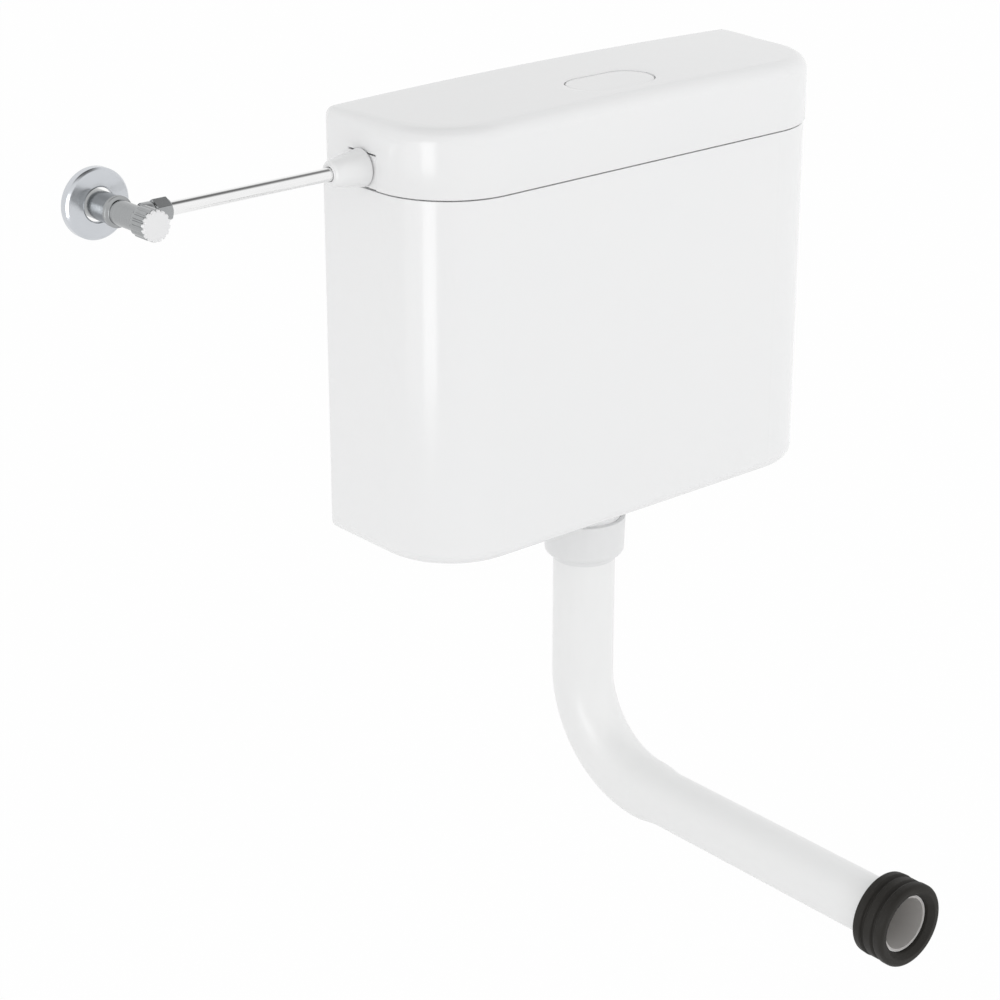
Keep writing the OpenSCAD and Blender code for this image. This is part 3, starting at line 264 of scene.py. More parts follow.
# %% [markdown]
# ### Moulded skin
# A slow noise mixes the plastic's tone with a slightly cooler one, a medium noise moves the roughness,
# and a fine noise is the ripple that a gloss shows. Object coordinates keep the scale in metres.

# %% Moulded skin group
def moulded_skin_group():
    """Tone follows a slow noise, roughness a medium one, and the height is a fine noise, the ripple."""
    group, given, out = new_group("moulded skin", skin_inputs("Ripple scale", FLOAT, 300.0), SKIN_OUT)
    where = add(group, "ShaderNodeTexCoord")
    slow = add(group, "ShaderNodeTexNoise", Scale=7.0, Detail=3.0)
    medium = add(group, "ShaderNodeTexNoise", Scale=42.0, Detail=4.0)
    ripple = add(group, "ShaderNodeTexNoise", Detail=2.0)
    for noise in (slow, medium, ripple):
        group.links.new(where.outputs["Object"], noise.inputs["Vector"])
    group.links.new(given.outputs["Ripple scale"], ripple.inputs["Scale"])
    drift(group, given, out, slow.outputs["Fac"], medium.outputs["Fac"])
    group.links.new(ripple.outputs["Fac"], out.inputs["Height"])
    return group


# %% [markdown]
# ### Painted shade in the bore
# Little light reaches the inside of the flush pipe, so its inside is painted grey near the open end as shade.
# A second material on the inner faces would need a seam, so a mask finds them: they lie nearer to the run's
# axis than its outside.

# %% Painted bore shade group
RUN_Z = -483.0
BORE_NEAR, BORE_OUTSIDE = 0.0219, 0.0224
BORE_DARK_Y, BORE_PALE_Y = -0.36, -0.34


def painted_bore_shade_group():
    """Colour = mix(colour, shade grey, near x far): shade painted into the bore.

    Near falls from 1 in the bore to 0 at the outside, by the distance from the run's axis.
    Far falls from 1 at the run's open end to 0 further in, by y.
    """
    group, given, out = new_group(
        "painted bore shade",
        {"Color": (COLOUR, (1, 1, 1, 1)), "Shade grey": (COLOUR, (0.2, 0.2, 0.2, 1))},
        {"Color": COLOUR})
    where = add(group, "ShaderNodeTexCoord")
    parts = add(group, "ShaderNodeSeparateXYZ")
    across = add(group, "ShaderNodeVectorMath", operation="MULTIPLY_ADD")
    across.inputs[1].default_value = (1, 0, 1)
    across.inputs[2].default_value = (0, 0, -RUN_Z * MM)
    reach = add(group, "ShaderNodeVectorMath", operation="LENGTH")
    near = add(group, "ShaderNodeMapRange", From_Min=BORE_NEAR, From_Max=BORE_OUTSIDE, To_Min=1.0, To_Max=0.0)
    far = add(group, "ShaderNodeMapRange", From_Min=BORE_DARK_Y, From_Max=BORE_PALE_Y, To_Min=1.0, To_Max=0.0)
    both = add(group, "ShaderNodeMath", operation="MULTIPLY")
    tone = add(group, "ShaderNodeMix", data_type="RGBA")
    group.links.new(where.outputs["Object"], across.inputs[0])
    group.links.new(where.outputs["Object"], parts.inputs[0])
    group.links.new(across.outputs["Vector"], reach.inputs[0])
    group.links.new(reach.outputs["Value"], near.inputs["Value"])
    group.links.new(parts.outputs["Y"], far.inputs["Value"])
    group.links.new(near.outputs["Result"], both.inputs[0])
    group.links.new(far.outputs["Result"], both.inputs[1])
    group.links.new(both.outputs[0], tone.inputs["Factor"])
    group.links.new(given.outputs["Color"], tone.inputs["A"])
    group.links.new(given.outputs["Shade grey"], tone.inputs["B"])
    group.links.new(tone.outputs["Result"], out.inputs["Color"])
    return group


# %% [markdown]
# ### Drawn metal
# Polishing leaves lines. Squeezing a noise along one axis, by multiplying the place by a stretch before
# the noise reads it, turns its spots into lines; a second, slow noise gives the cloudy look of a
# satin plate.

# %% Drawn metal group
def drawn_metal_group():
    """Lines = noise(place x stretch); tone and roughness both follow half of lines + a slow cloud."""
    group, given, out = new_group("drawn metal", skin_inputs("Stretch", VECTOR, (1, 1, 1)), SKIN_OUT)
    where = add(group, "ShaderNodeTexCoord")
    squeeze = add(group, "ShaderNodeVectorMath", operation="MULTIPLY")
    lines = add(group, "ShaderNodeTexNoise", Scale=1.0, Detail=3.0)
    cloud = add(group, "ShaderNodeTexNoise", Scale=60.0, Detail=2.0)
    both = add(group, "ShaderNodeMath", operation="ADD")
    half = add(group, "ShaderNodeMath", operation="MULTIPLY")
    half.inputs[1].default_value = 0.5
    group.links.new(where.outputs["Object"], squeeze.inputs[0])
    group.links.new(given.outputs["Stretch"], squeeze.inputs[1])
    group.links.new(squeeze.outputs[0], lines.inputs["Vector"])
    group.links.new(where.outputs["Object"], cloud.inputs["Vector"])
    group.links.new(lines.outputs["Fac"], both.inputs[0])
    group.links.new(cloud.outputs["Fac"], both.inputs[1])
    group.links.new(both.outputs[0], half.inputs[0])
    drift(group, given, out, half.outputs[0], half.outputs[0])
    group.links.new(lines.outputs["Fac"], out.inputs["Height"])
    return group


MOULDED = moulded_skin_group()
PAINTED_BORE_SHADE = painted_bore_shade_group()
DRAWN = drawn_metal_group()
print("groups:", [(group.name, len(group.nodes)) for group in (MOULDED, PAINTED_BORE_SHADE, DRAWN)])

# %% [markdown]
# ### The finishes
# A finish is one shader fed by one group. The pipe, its nut and the cap get a thin clear coat, metal is
# fully metallic, and rubber is dull with a strong ripple. A greyer chrome is used where the photograph
# shows satin metal.

# %% Finishes
COAT_ROUGHNESS = 0.05


def finish(name, group, tone, second, roughness, spread, bump, own, distance=0.0002, metallic=0.0, coat=0.0,
           ior=1.5, bore=None):
    """One material: the group's colour, roughness and height on a Principled shader with plain constants."""
    material = bpy.data.materials.new(name)
    material.use_nodes = True
    tree = material.node_tree
    shader = tree.nodes["Principled BSDF"]
    plain = {"Metallic": metallic, "Coat Weight": coat, "Coat Roughness": COAT_ROUGHNESS, "IOR": ior}
    for key, value in plain.items():
        shader.inputs[key].default_value = value
    look = add(tree, "ShaderNodeGroup", node_tree=group)
    varied = {"Tone": (*tone, 1), "Second tone": (*second, 1), "Roughness": roughness, "Spread": spread}
    for key, value in (varied | own).items():
        look.inputs[key].default_value = value
    colour = look.outputs["Color"]
    # The bore's inner faces get painted shade: a grey mixed in near the open end.
    if bore:
        dark = add(tree, "ShaderNodeGroup", node_tree=PAINTED_BORE_SHADE)
        dark.inputs["Shade grey"].default_value = (*bore, 1)
        tree.links.new(colour, dark.inputs["Color"])
        colour = dark.outputs["Color"]
    relief = add(tree, "ShaderNodeBump", Strength=bump, Distance=distance)
    tree.links.new(colour, shader.inputs["Base Color"])
    tree.links.new(look.outputs["Roughness"], shader.inputs["Roughness"])
    tree.links.new(look.outputs["Height"], relief.inputs["Height"])
    tree.links.new(relief.outputs["Normal"], shader.inputs["Normal"])
    return material


def moulded(name, tone, second, ripple, **values):
    """The name of a plastic or rubber finish, and the finish with so many ripples in a metre."""
    return name, finish(name, MOULDED, tone, second, own={"Ripple scale": ripple}, **values)


def metal(name, tone, second, stretch, **values):
    """The name of a metal finish, and the finish with so many lines in a metre along x, y and z."""
    return name, finish(name, DRAWN, tone, second, own={"Stretch": stretch}, metallic=1.0, **values)


def grey(value):
    """A neutral colour."""
    return (value, value, value)


WHITE, COOL_WHITE = grey(0.85), (0.835, 0.84, 0.845)
FINISHES = dict((
    moulded("tank plastic", WHITE, COOL_WHITE, ripple=160.0, roughness=0.16, spread=0.08, bump=0.06),
    moulded("lid plastic", WHITE, COOL_WHITE, ripple=160.0, roughness=0.16, spread=0.08, bump=0.06),
    # The pipe's bore colour is painted shade: a grey inside near the open end.
    moulded("pipe plastic", (0.87, 0.873, 0.87), (0.85, 0.853, 0.853), ripple=120.0,
            roughness=0.34, spread=0.10, bump=0.10, coat=0.15, bore=(0.52, 0.505, 0.49)),
    moulded("nut plastic", (0.80, 0.803, 0.806), (0.77, 0.773, 0.777), ripple=160.0,
            roughness=0.30, spread=0.10, bump=0.10, coat=0.15),
    moulded("inner plastic", (0.70, 0.71, 0.72), (0.64, 0.65, 0.67), ripple=500.0,
            roughness=0.45, spread=0.15, bump=0.2),
    moulded("blue plastic", (0.30, 0.45, 0.62), (0.26, 0.40, 0.58), ripple=500.0,
            roughness=0.42, spread=0.15, bump=0.2),
    moulded("cap plastic", grey(0.80), (0.77, 0.775, 0.785), ripple=400.0,
            roughness=0.32, spread=0.10, bump=0.1, coat=0.2),
    moulded("rubber", (0.012, 0.011, 0.009), (0.021, 0.019, 0.016), ripple=900.0,
            roughness=0.60, spread=0.25, bump=0.5, distance=0.0003, ior=1.35),
    metal("polished chrome", grey(0.93), grey(0.84), stretch=(40, 900, 900),
          roughness=0.14, spread=0.10, bump=0.05),
    metal("satin chrome", (0.44, 0.45, 0.455), (0.28, 0.29, 0.295), stretch=(60, 1500, 60),
          roughness=0.20, spread=0.12, bump=0.12),
    metal("rosette chrome", (0.64, 0.66, 0.69), (0.57, 0.59, 0.62), stretch=(90, 1200, 90),
          roughness=0.20, spread=0.12, bump=0.06),
    metal("brass", (0.72, 0.52, 0.24), (0.58, 0.40, 0.17), stretch=(200, 1500, 200),
          roughness=0.28, spread=0.15, bump=0.15),
    metal("steel", grey(0.60), grey(0.48), stretch=(300, 300, 900), roughness=0.25, spread=0.12, bump=0.1),
))
print("finishes:", ", ".join(FINISHES))

# %% [markdown]
# ## Dress the carried-over solids
# The tank's shape in the frame is already exact, with its holes, inlet upstands and spigot, and so are the
# small pieces inside. They keep their meshes and only take a finish.

# %% Dress the solids
WEARS = {
    "tank plastic": ["tank"],
    "inner plastic": ["button_frame", "push_rod", "valve_cage", "valve_seat", "fill_valve_body", "lock_nut",
                      "float_arm", "float", "blanking_plug", "discharge_tube", "fill_piston", "level_screw",
                      "flush_lever"],
    "blue plastic": ["overflow_tube"],
    "rubber": ["flush_seal", "seat_gasket", "cone_seal", "inlet_seal", "piston_face", "supply_seal",
               "spindle_seal", "cone_washer"],
    "polished chrome": ["supply_nut"],
    "brass": ["olive", "headwork", "spindle", "stop_cone"],
    "steel": ["lever_pin", "arm_pin", "handle_screw"],
}


def dress(node, material):
    """Fills every material slot of a carried-over solid with one finish."""
    for material_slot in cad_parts[node].material_slots:
        material_slot.material = material


for worn, nodes in WEARS.items():
    for node in nodes:
        dress(node, FINISHES[worn])
print("dressed:", sum(len(nodes) for nodes in WEARS.values()), "solids")

# %% [markdown]
# ## Surfaces from grids
# Every new piece is a grid of points: rows along a profile, columns around a ring. A grid whose rows come
# back to the start is a closed shell with a hole through it, like a tube; a grid that starts and ends in
# a single point is closed by a fan at each pole. The enclosed volume tells whether the faces look
# outwards, so one helper serves all pieces.

# %% Grid helpers
CREASE = math.radians(38)


def skin_faces(rows, columns, poles):
    """Quads between neighbouring rows and columns of a grid, and a fan of triangles at each pole, if any."""
    i = np.arange(rows - 1 if poles else rows)[:, None]
    j = np.arange(columns)[None, :]
    up, on = (i + 1) % rows, (j + 1) % columns
    quads = np.stack([i * columns + j, up * columns + j, up * columns + on, i * columns + on], -1)
    faces = quads.reshape(-1, 4).tolist()
    if poles:
        start, end = rows * columns, rows * columns + 1
        ring = np.arange(columns)
        after = (ring + 1) % columns
        last = (rows - 1) * columns
        faces += np.column_stack([np.full(columns, start), ring, after]).tolist()
        faces += np.column_stack([np.full(columns, end), last + after, last + ring]).tolist()
    return faces


def skin(grid, poles=None):
    """Points and faces of one closed surface, in mm: a grid of rows x columns x 3, and two poles, if any.

    Over its triangles, a . (b x c) adds up to six times the volume. If that is negative, the faces turn.
    """
    rows, columns, _ = grid.shape
    points = grid.reshape(-1, 3)
    if poles is not None:
        points = np.vstack([points, poles])
    faces = skin_faces(rows, columns, poles is not None)
    fans = np.array([(f[0], f[k], f[k + 1]) for f in faces for k in range(1, len(f) - 1)])
    a, b, c = points[fans[:, 0]], points[fans[:, 1]], points[fans[:, 2]]
    if np.einsum("ij,ij->i", a, np.cross(b, c)).sum() < 0:
        faces = [f[::-1] for f in faces]
    return points, faces


def make_piece(name, skins, body, slot, material, *nodes):
    """One object from closed skins: smooth faces with creases past an angle, riding on a body."""
    points, faces, first = [], [], 0
    for skin_points, skin_sides in skins:
        points.append(skin_points)
        faces += [[corner + first for corner in side] for side in skin_sides]
        first += len(skin_points)
    mesh = bpy.data.meshes.new(name)
    mesh.from_pydata((np.vstack(points) * MM).tolist(), [], faces)
    mesh.polygons.foreach_set("use_smooth", np.ones(len(mesh.polygons), bool))
    mesh.set_sharp_from_angle(angle=CREASE)
    mesh.materials.append(FINISHES[material])
    piece = bpy.data.objects.new(name, mesh)
    bpy.context.scene.collection.objects.link(piece)
    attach(piece, body)
    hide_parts(*nodes)
    print(name, len(mesh.vertices), "points", len(mesh.polygons), "faces")
    return piece


# %% [markdown]
# ### Profiles with round corners
# A turned or moulded part is drawn as corner points, and each corner gets its own radius. The arc touches
# both neighbouring lines: it starts at the distance r / tan(half the corner's angle) from the corner.

# %% Rounded profiles
TINY = 1e-6


def rounded(corners, closed=True, steps=6):
    """Corners (x, y, radius) to points: each corner becomes an arc of its radius that touches both sides."""
    data = np.array(corners, float)
    spot, radius = data[:, :2], data[:, 2:3]
    back, ahead = np.roll(spot, 1, 0) - spot, np.roll(spot, -1, 0) - spot
    back /= np.linalg.norm(back, axis=1, keepdims=True)
    ahead /= np.linalg.norm(ahead, axis=1, keepdims=True)
    half = np.arccos(np.clip((back * ahead).sum(1, keepdims=True), TINY - 1, 1 - TINY)) / 2
    middle = back + ahead
    middle /= np.linalg.norm(middle, axis=1, keepdims=True) + 1e-12
    centre = spot + middle * radius / np.sin(half)
    start = spot + back * radius / np.tan(half) - centre
    end = spot + ahead * radius / np.tan(half) - centre
    turn = math.pi - 2 * half
    u = np.linspace(0, 1, steps)[None, :, None]
    arc = (np.sin((1 - u) * turn[:, None]) * start[:, None] + np.sin(u * turn[:, None]) * end[:, None])
    points = centre[:, None] + arc / np.sin(turn[:, None])
    if not closed:
        points[0], points[-1] = spot[0], spot[-1]
    points = points.reshape(-1, 2)
    gap = np.linalg.norm(points - np.roll(points, 1, 0), axis=1)
    keep = gap > TINY
    if not closed:
        keep[0] = True
    return points[keep]


AXES = {
    "up": ((0, 0, 1), (1, 0, 0), (0, 1, 0)),
    "left": ((-1, 0, 0), (0, -1, 0), (0, 0, 1)),
    "right": ((1, 0, 0), (0, 1, 0), (0, 0, 1)),
    "front": ((0, -1, 0), (1, 0, 0), (0, 0, 1)),
}


def turned(profile, origin, along, segments, poles=False, radius=None):
    """A profile (r, s) carried round an axis: origin + s x axis + r x (cos a x side + sin a x top)."""
    axis, side, top = (np.array(v, float) for v in AXES[along])
    a = np.linspace(0, 2 * math.pi, segments, endpoint=False)
    if poles:
        ends = np.array([origin + s * axis for s in (profile[0, 1], profile[-1, 1])])
        profile = profile[1:-1]
    r, s = profile[:, 0, None], profile[:, 1, None]
    r = np.broadcast_to(r, (len(profile), segments)) if radius is None else radius(r, a[None, :])
    ring = np.cos(a)[:, None] * side + np.sin(a)[:, None] * top
    grid = np.array(origin, float) + s[..., None] * axis + r[..., None] * ring[None]
    return skin(grid, ends if poles else None)


# %% [markdown]
# ## The lid
# The lid is a thin shell: a D-shaped plan with a straight back and two broad front corners, a top that is
# crowned from side to side, and a well for the button. It could be cut from blocks with booleans, but
# the joints between those cuts shade badly. Here one closed band of loops runs from the lower edge up
# the wall, over the rounded edge, across the top to the well, down the well and back along the inside.

# %% Plan of the lid
LID_HALF, LID_DEPTH = 205.0, 132.0
LID_FRONT_R, LID_BACK_R = 64.0, 9.0
LID_LOW, LID_TOP, LID_WALL, LID_CROWN = 37.7, 91.5, 2.6, 3.2
CROWN_R = (LID_HALF ** 2 + LID_CROWN ** 2) / (2 * LID_CROWN)
NOTCH_TOP, NOTCH_MIDDLE, NOTCH_HALF = 64.0, -48.0, 15.8
NOTCH_STEP = 1.004  # the stops just outside the notch, as a share of its half, keep its sides upright
BEHIND_NOTCH, BEFORE_NOTCH = (-11, -14, -18, -24, -29), -66
BACK_STEPS, FRONT_STEPS, RIGHT_STEPS = 36, 48, 14
FRONT_CORNER_STEPS, BACK_CORNER_STEPS = 44, 8


def even(count):
    """Shares from 0 up to 1, which is left out."""
    return np.linspace(0, 1, count, endpoint=False)


def straight(a, b, stops):
    """Points from a to b at the given shares, with the unit vector to the left of the way."""
    a, b = np.array(a, float), np.array(b, float)
    way = (b - a) / np.linalg.norm(b - a)
    points = a + np.array(stops, float)[:, None] * (b - a)
    return points, np.broadcast_to([-way[1], way[0]], points.shape)


def corner(centre, r, first, count):
    """A quarter circle from an angle on, with the unit vector to its centre."""
    a = np.radians(first + np.linspace(0, 90, count, endpoint=False))
    out = np.stack([np.cos(a), np.sin(a)], 1)
    return np.array(centre, float) + r * out, -out


def lid_plan():
    """The lid's outline from the middle of its back, round left, front and right: points, inward vectors."""
    side_y, half = -(LID_DEPTH - LID_FRONT_R), LID_HALF - LID_FRONT_R
    back = LID_HALF - LID_BACK_R
    notch = NOTCH_MIDDLE + NOTCH_HALF * np.array([NOTCH_STEP, 1.0, 0.5, 0, -0.5, -1.0, -NOTCH_STEP])
    left_y = np.concatenate([[-LID_BACK_R, *BEHIND_NOTCH], notch, [BEFORE_NOTCH]])
    left_stops = (left_y + LID_BACK_R) / (side_y + LID_BACK_R)
    parts = [
        straight((0, 0), (-back, 0), even(BACK_STEPS)),
        corner((-back, -LID_BACK_R), LID_BACK_R, 90, BACK_CORNER_STEPS),
        straight((-LID_HALF, -LID_BACK_R), (-LID_HALF, side_y), left_stops),
        corner((-half, side_y), LID_FRONT_R, 180, FRONT_CORNER_STEPS),
        straight((-half, -LID_DEPTH), (half, -LID_DEPTH), even(FRONT_STEPS)),
        corner((half, side_y), LID_FRONT_R, 270, FRONT_CORNER_STEPS),
        straight((LID_HALF, side_y), (LID_HALF, -LID_BACK_R), even(RIGHT_STEPS)),
        corner((back, -LID_BACK_R), LID_BACK_R, 0, BACK_CORNER_STEPS),
        straight((back, 0), (0, 0), even(BACK_STEPS)),
    ]
    return np.vstack([p for p, _ in parts]), np.vstack([n for _, n in parts])


PLAN, INWARD = lid_plan()
print("lid plan:", len(PLAN), "points")

# %% [markdown]
# ### The button's outline
# The button and its well are stadiums, a straight middle between two half circles. A ray from the middle
# leaves through a straight side between the circles' centres, and through an end circle past them, so
# every loop across the lid's top can be matched by angle.

# %% Stadium
BUTTON_Y, BUTTON_HALF, BUTTON_R = -87.0, 38.0, 21.0
BUTTON_SINK, BUTTON_SLIT = 0.6, 0.8
WELL_LOW, WELL_WALL = 73.9, 2.0


def stadium(angle, margin):
    """The outline grown by a margin, at angles a from its middle.

    With w its half width and q half of its straight side, a ray meets the side at w / sin a and the end
    circle at q cos a + sqrt(w2 - q2 sin2 a).
    """
    w, q = BUTTON_R + margin, BUTTON_HALF - BUTTON_R
    c, s = np.abs(np.cos(angle)), np.abs(np.sin(angle))
    side = w / np.maximum(s, 1e-9)
    end = q * c + np.sqrt(np.maximum(w ** 2 - (q * s) ** 2, 0))
    reach = np.where(side * c <= q, side, end)
    return np.stack([reach * np.cos(angle), BUTTON_Y + reach * np.sin(angle)], -1)


def crowned(x):
    """Height of the lid's top: a wide circle's arc from side to side."""
    return LID_TOP - CROWN_R + np.sqrt(CROWN_R ** 2 - x ** 2)


# %% [markdown]
# ### The band of loops
# Each loop is the plan moved inwards by some distance, or a mix of the plan and the stadium, at its own
# height. The lower edge lifts where the notch leaves room for the inlet.

# %% Band of the lid
LID_EDGE_R, LID_BACK_EDGE_R, EDGE_EASE = 12.0, 6.5, 60.0
LIP, LIP_STEP, UNDER_EDGE, WELL_LIP = 0.5, 0.15, 0.4, 0.7
EDGE_ROWS, TOP_ROWS, WELL_ROWS, CEILING_ROWS, INNER_ROWS = 11, 18, 6, 8, 7


def smooth_step(t):
    """3 t2 - 2 t3, with t held between 0 and 1: it starts and ends level."""
    t = np.clip(t, 0, 1)
    return t * t * (3 - 2 * t)


def lid_loops():
    """All loops of the lid's closed band, from the outside of its lower edge round to the inside of it."""
    x, y = PLAN.T
    in_notch = (x < 0) & (np.abs(y - NOTCH_MIDDLE) <= NOTCH_HALF + TINY)
    low = np.where(in_notch, NOTCH_TOP, LID_LOW)
    edge = LID_BACK_EDGE_R + (LID_EDGE_R - LID_BACK_EDGE_R) * smooth_step((-y - LID_BACK_R) / EDGE_EASE)
    inner_edge = edge - LID_WALL
    angle = np.arctan2(y - BUTTON_Y, x)

    def moved(distance):
        """The plan moved inwards."""
        return PLAN + INWARD * np.reshape(distance, (-1, 1))

    def at(xy, height):
        """Points of the plane at a height, or at one per point."""
        return np.column_stack([xy, np.broadcast_to(height, len(xy))])

    def top(xy, sunk):
        """Points of the plane lifted onto the crowned top, less a depth."""
        return np.column_stack([xy, crowned(xy[:, 0]) - sunk])

    def spread(a, b, rows):
        """Rows of plane points from loop a to loop b."""
        t = np.linspace(0, 1, rows)[:, None, None]
        return (1 - t) * a + t * b

    def rolled(wall, r, degrees):
        """Loops of a quarter round: inwards by wall + r (1 - cos), under the top by wall + r (1 - sin)."""
        return [top(moved(wall + r * (1 - math.cos(phi))), wall + r * (1 - math.sin(phi)))
                for phi in np.radians(degrees)]

    loops = [at(moved(LID_WALL - LIP), low), at(moved(LIP), low), at(moved(LIP_STEP), low + LIP_STEP),
             at(PLAN, low + LIP), at(PLAN, crowned(x) - edge - UNDER_EDGE)]
    loops += rolled(0, edge, np.linspace(0, 90, EDGE_ROWS))
    mouth = stadium(angle, BUTTON_SLIT + WELL_LIP)
    loops += [top(row, 0) for row in spread(moved(edge), mouth, TOP_ROWS)[1:]]
    for phi in np.radians(np.linspace(0, 90, WELL_ROWS))[1:]:
        ring = stadium(angle, BUTTON_SLIT + WELL_LIP * (1 - math.sin(phi)))
        loops.append(top(ring, WELL_LIP * (1 - math.cos(phi))))
    well = stadium(angle, BUTTON_SLIT + WELL_WALL)
    loops += [at(stadium(angle, BUTTON_SLIT), WELL_LOW), at(well, WELL_LOW)]
    loops += [top(row, LID_WALL) for row in spread(well, moved(LID_WALL + inner_edge), CEILING_ROWS)]
    loops += rolled(LID_WALL, inner_edge, np.linspace(90, 0, INNER_ROWS)[1:])
    loops += [at(moved(LID_WALL), low + LIP), at(moved(LID_WALL - LIP_STEP), low + LIP_STEP)]
    return np.array(loops)


# %% [markdown]
# ### Ribs
# Six short ribs stand the lid on the tank's rim: two at the front, two at the back and one at each side.
# A rib is a plain bar that starts in the middle of the lid's wall, so no crack shows between them.

# %% Ribs and lid
RIB_LOW, RIB_HIGH, RIB_HALF, RIB_IN = 46.5, 78.5, 1.2, 9.5
RIB_X, RIB_Y, RIB_ROOT = 105.0, -72.4, LID_WALL / 2


def bar(low, high):
    """A plain bar between two corners: two rings of four points, with a pole in the middle of each end."""
    low, high = np.array(low, float), np.array(high, float)
    ring = np.array([(0, 0), (1, 0), (1, 1), (0, 1)], float)
    plan = low[:2] + (high - low)[:2] * ring
    middle = (low + high)[:2] / 2
    grid = np.array([np.column_stack([plan, np.full(len(plan), z)]) for z in (low[2], high[2])])
    return skin(grid, np.array([(*middle, low[2]), (*middle, high[2])]))


front_and_back = ((-LID_DEPTH + RIB_ROOT, -LID_DEPTH + RIB_IN), (-RIB_IN, -RIB_ROOT))
left_and_right = ((-LID_HALF + RIB_ROOT, -LID_HALF + RIB_IN), (LID_HALF - RIB_IN, LID_HALF - RIB_ROOT))
ribs = [bar((x - RIB_HALF, y0, RIB_LOW), (x + RIB_HALF, y1, RIB_HIGH))
        for x in (-RIB_X, RIB_X) for y0, y1 in front_and_back]
ribs += [bar((x0, RIB_Y - RIB_HALF, RIB_LOW), (x1, RIB_Y + RIB_HALF, RIB_HIGH)) for x0, x1 in left_and_right]
make_piece("lid_shell", [skin(lid_loops()), *ribs], "lid", "white_plastic", "lid plastic", "lid")

# %% [markdown]
# ## The flush button
# The button is a hollow oblong cap that sits a little below the lid's top, so its rim catches a thin
# shadow. Its loops are stadiums that shrink to a pole above and below.

# %% Flush button
BUTTON_TOP, BUTTON_H, BUTTON_WALL = LID_TOP - BUTTON_SINK, 10.0, 2.0
BUTTON_EDGE_R, BUTTON_LIP, BUTTON_INNER_R = 1.1, 0.4, 0.8
BUTTON_ROWS, BUTTON_COLUMNS = (-16, -9, -3, -1.4), 192


def button_skin():
    """Stadium loops (margin, height) from the top's middle over the rounded rim to the inside's middle."""
    angle = 2 * math.pi * even(BUTTON_COLUMNS)
    low, ceiling = BUTTON_TOP - BUTTON_H, BUTTON_TOP - BUTTON_WALL
    rim = [(BUTTON_EDGE_R * (math.sin(phi) - 1), BUTTON_TOP - BUTTON_EDGE_R * (1 - math.cos(phi)))
           for phi in np.radians(np.linspace(0, 90, 7))]
    path = [*((margin, BUTTON_TOP) for margin in BUTTON_ROWS), *rim,
            (0, low + BUTTON_LIP), (-BUTTON_LIP, low), (BUTTON_LIP - BUTTON_WALL, low),
            (-BUTTON_WALL, low + BUTTON_LIP), (-BUTTON_WALL, ceiling - BUTTON_INNER_R),
            (-BUTTON_WALL - BUTTON_INNER_R, ceiling), *((margin, ceiling) for margin in BUTTON_ROWS[1::-1])]
    grid = np.array([np.column_stack([stadium(angle, m), np.full(len(angle), z)]) for m, z in path])
    return skin(grid, np.array([(0, BUTTON_Y, BUTTON_TOP), (0, BUTTON_Y, ceiling)]))


make_piece("button_cap", [button_skin()], "button", "white_plastic", "lid plastic", "flush_button")

# %% [markdown]
# ## The return spring
# The spring under the button is a round wire on a helix. Its tube is a circle carried along the helix,
# square to it, and a pole closes each end.

# %% Spring
SPRING_LOW, SPRING_HIGH, SPRING_R, WIRE_R, TURNS = 73.9, 88.9, 5.0, 0.5, 5
ROD_Y = -98.0


def spring_skin(steps=60, sides=12):
    """Wire circle along a helix: centre (R cos t, R sin t, rise t), with the wire square to the way."""
    t = np.linspace(0, 2 * math.pi * TURNS, steps * TURNS)[:, None]
    rise = (SPRING_HIGH - SPRING_LOW - 2 * WIRE_R) / (2 * math.pi * TURNS)
    middle = np.hstack([SPRING_R * np.cos(t), ROD_Y + SPRING_R * np.sin(t), SPRING_LOW + WIRE_R + rise * t])
    out = np.hstack([np.cos(t), np.sin(t), 0 * t])
    way = np.hstack([-SPRING_R * np.sin(t), SPRING_R * np.cos(t), 0 * t + rise])
    way /= np.linalg.norm(way, axis=1, keepdims=True)
    over = np.cross(way, out)
    b = np.linspace(0, 2 * math.pi, sides, endpoint=False)[None, :, None]
    grid = middle[:, None] + WIRE_R * (np.cos(b) * out[:, None] + np.sin(b) * over[:, None])
    return skin(grid, np.array([middle[0], middle[-1]]))


spring = make_piece("return_spring", [spring_skin()], "lid", "steel", "steel", "button_spring")
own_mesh(spring)

# %% [markdown]
# ## The inlet shroud
# Where the supply pipe goes in, a small cone stands on a flat plate that fills the notch in the lid. The
# cone is wider than the plate is high, so its rim covers the middle of the slit above the plate. The
# plate is a band of loops from an oblong to a hole, and the cone is turned, with a round tip.

# %% Inlet shroud
INLET = (0.0, NOTCH_MIDDLE, 52.2)
PLATE_HALF, PLATE_UP, PLATE_DOWN, PLATE_IN, PLATE_OUT = 15.78, 10.7, 13.7, 204.1, 205.0
PLATE_HOLE_R, PLATE_RIM, PLATE_SOFT, PLATE_COLUMNS = 12.6, 0.2, 0.15, 96
NECK_START, NECK_END, NECK_BORE_R, NECK_R = 205.1, 206.2, 11.0, 11.5
CONE_START, CONE_FLOOR, CONE_OUT, CONE_R, CONE_TIP_R = 206.3, 207.6, 235.0, 14.2, 9.5
CONE_WALL, TIP_WALL, PIPE_HOLE_R = 1.6, 1.4, 5.4


def plate_skin():
    """Loops from an oblong edge to a hole and back: the edge's reach is 1 / max(|cos a| / w, |sin a| / h)."""
    a = 2 * math.pi * even(PLATE_COLUMNS)
    height = np.where(np.sin(a) > 0, PLATE_UP, PLATE_DOWN)
    edge = 1 / np.maximum(np.abs(np.cos(a)) / PLATE_HALF, np.abs(np.sin(a)) / height)
    hole = np.minimum(PLATE_HOLE_R, edge - PLATE_RIM)
    loops = [(edge, PLATE_IN), (edge, PLATE_OUT - PLATE_RIM), (edge - PLATE_SOFT, PLATE_OUT),
             (hole, PLATE_OUT), (hole, PLATE_IN)]
    return skin(np.array([
        np.column_stack([np.full(PLATE_COLUMNS, -s), INLET[1] - r * np.cos(a), INLET[2] + r * np.sin(a)])
        for r, s in loops]))


